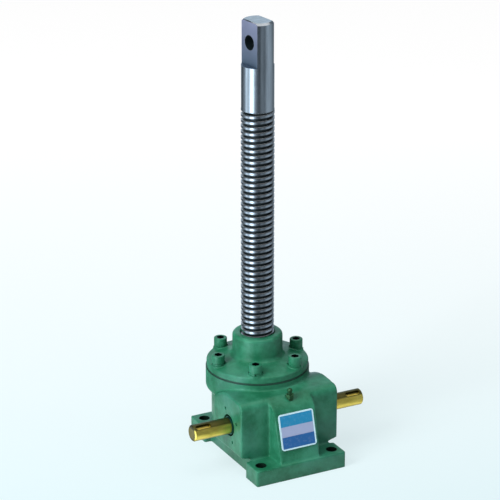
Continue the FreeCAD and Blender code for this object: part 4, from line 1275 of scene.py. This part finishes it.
class BuildStage(bpy.types.Operator):
    """Camera, soft lights, pale floor and surroundings"""

    bl_idname = "jack.build_stage"
    bl_label = "Build stage"

    def towards(self, azimuth, elevation):
        """The direction from the jack to a place round it."""
        level = math.cos(elevation)
        return Vector((math.sin(azimuth) * level, -math.cos(azimuth) * level, math.sin(elevation)))

    def aimed(self, scene, name, data, back, place):
        """Puts a camera or a light at a place, looking against its direction from the jack."""
        made = bpy.data.objects.new(name, data)
        made.location = place
        made.rotation_euler = (-back).to_track_quat("-Z", "Y").to_euler()
        scene.collection.objects.link(made)
        return made

    def camera(self, scene, stage):
        """The camera, aimed at the jack from its front left."""
        back = self.towards(stage.azimuth, stage.elevation)
        right = Vector((math.cos(stage.azimuth), math.sin(stage.azimuth), 0))
        target = SCREW_AXIS + right * stage.target_right + Vector((0, 0, stage.target_height))
        data = bpy.data.cameras.new("camera")
        data.lens = stage.lens
        data.sensor_width = 36
        data.clip_end = 40
        scene.camera = self.aimed(scene, "camera", data, back, target + back * stage.distance)

    def light(self, scene, name, azimuth, elevation, distance, width, height, power):
        """A rectangular soft light that looks at the middle of the jack."""
        data = bpy.data.lights.new(name, "AREA")
        data.shape = "RECTANGLE"
        data.size, data.size_y = width, height
        data.energy = power
        back = self.towards(math.radians(azimuth), math.radians(elevation))
        place = SCREW_AXIS + Vector((0, 0, 0.2)) + back * distance
        self.aimed(scene, name, data, back, place).visible_glossy = False

    def seen(self, wire):
        """One where a ray comes from the camera, a reflection or a transmission."""
        ray = wire.add("ShaderNodeLightPath").outputs
        return wire.most(wire.most(ray["Is Camera Ray"], ray["Is Glossy Ray"]), ray["Is Transmission Ray"])

    def reflectors(self):
        """Bright and dark studio cards in a ring, seen only in the metal."""
        near, far, tall, sheet = 0.17, 0.9, 1.3, 2 * MM
        outside = far + sheet
        outline = [(near, 0), (outside, 0), (outside, tall), (far, tall), (far, sheet), (near, sheet)]
        ring = turned("reflector_ring", outline, segments=64)
        material, wire, shader, place = finish_tree("reflector_cards")
        axes = wire.axes(place)
        deep = wire.minus(axes[1], SCREW_AXIS.y)
        heading = wire.ranged(wire.calc("ARCTAN2", deep, axes[0]), -math.pi, math.pi)
        cards = wire.add("ShaderNodeValToRGB", None, s0=heading)
        ramp = cards.color_ramp
        for n, (place_on_ring, level) in enumerate(REFLECTOR_CARDS):
            stop = ramp.elements[n] if n < 2 else ramp.elements.new(place_on_ring)
            stop.position = place_on_ring
            stop.color = (0.82 * level, level, 1.16 * level, 1)
        glow = wire.add("ShaderNodeEmission", None, Color=cards.outputs[0], Strength=1.0)
        wire.feed(material.node_tree.nodes["Material Output"].inputs["Surface"], glow.outputs[0])
        ring.data.materials.append(material)
        ring.visible_camera = False
        ring.visible_diffuse = False
        ring.visible_shadow = False
        ring.visible_transmission = False

    def floor(self, stage):
        """A pale floor that fades to white behind the jack and keeps a soft shadow."""
        level = HOUSING_LOW.z - 0.3 * MM
        floor = block("floor_sheet", (-12, -12, level - 2 * MM), (12, 12, level))
        material, wire, shader, place = finish_tree("floor_paper")
        axes = wire.axes(place)
        ahead = wire.weighed(axes[0], -math.sin(stage.azimuth), axes[1], math.cos(stage.azimuth))
        depth = wire.ranged(ahead, -0.16, 1.25)
        share = wire.calc("POWER", depth, 0.85)
        tone = blended(wire, share, stage.floor_near, stage.floor_far)
        wire.feed(shader.inputs["Base Color"], tone)
        shader.inputs["Roughness"].default_value = 0.9
        shader.inputs["Specular IOR Level"].default_value = 0.1
        strength = wire.ranged(share, 0, 1, 0.94, 1.12)
        glow = wire.add("ShaderNodeEmission", None, Color=tone, Strength=strength)
        glow_share = wire.times(self.seen(wire), 0.78)
        mix = wire.add(
            "ShaderNodeMixShader", None, s0=glow_share, s1=shader.outputs[0], s2=glow.outputs[0]
        )
        wire.feed(material.node_tree.nodes["Material Output"].inputs["Surface"], mix.outputs[0])
        floor.data.materials.append(material)

    def surroundings(self, scene):
        """A white room that lights the jack softly."""
        world = bpy.data.worlds.new("studio")
        scene.world = world
        world.use_nodes = True
        wire = Wiring(world.node_tree)
        background = world.node_tree.nodes["Background"]
        background.inputs[0].default_value = (1, 1, 1, 1)
        wire.feed(background.inputs[1], wire.ranged(self.seen(wire), 0, 1, 0.30, 1.0))

    def execute(self, context):
        scene = context.scene
        stage = scene.jack_stage
        scene.view_settings.view_transform = "Standard"
        self.camera(scene, stage)
        for name, azimuth, elevation, distance, width, height, power in SOFTBOXES:
            self.light(scene, name, azimuth, elevation, distance, width, height, power)
        self.floor(stage)
        self.reflectors()
        self.surroundings(scene)
        return {"FINISHED"}


OPERATORS = (
    BuildHousing, BuildCover, BuildFasteners, BuildLiftingScrew, BuildWormShaft,
    BuildNipple, FinishInnerParts, BuildStage,
)


class JackPanel(bpy.types.Panel):
    """Sizes, finishes and build steps of the screw jack"""

    bl_idname = "VIEW3D_PT_screw_jack"
    bl_label = "Screw jack"
    bl_space_type = "VIEW_3D"
    bl_region_type = "UI"
    bl_category = "Screw jack"

    def draw(self, context):
        for operator in OPERATORS:
            self.layout.operator(operator.bl_idname)
        for label, group in PROPERTY_GROUPS.items():
            part = self.layout.box()
            for name in group.__annotations__:
                part.prop(getattr(context.scene, label), name)


def register():
    """Registers the settings, the build steps and the panel."""
    for label, group in PROPERTY_GROUPS.items():
        bpy.utils.register_class(group)
        setattr(bpy.types.Scene, label, bpy.props.PointerProperty(type=group))
    for kind in (*OPERATORS, JackPanel):
        bpy.utils.register_class(kind)


def unregister():
    """Takes everything back out."""
    for kind in (JackPanel, *reversed(OPERATORS)):
        bpy.utils.unregister_class(kind)
    for label, group in reversed(PROPERTY_GROUPS.items()):
        delattr(bpy.types.Scene, label)
        bpy.utils.unregister_class(group)


def main():
    """Builds the jack and its stage."""
    register()
    for operator in OPERATORS:
        family, name = operator.bl_idname.split(".")
        getattr(getattr(bpy.ops, family), name)()


if __name__ == "__main__":
    main()
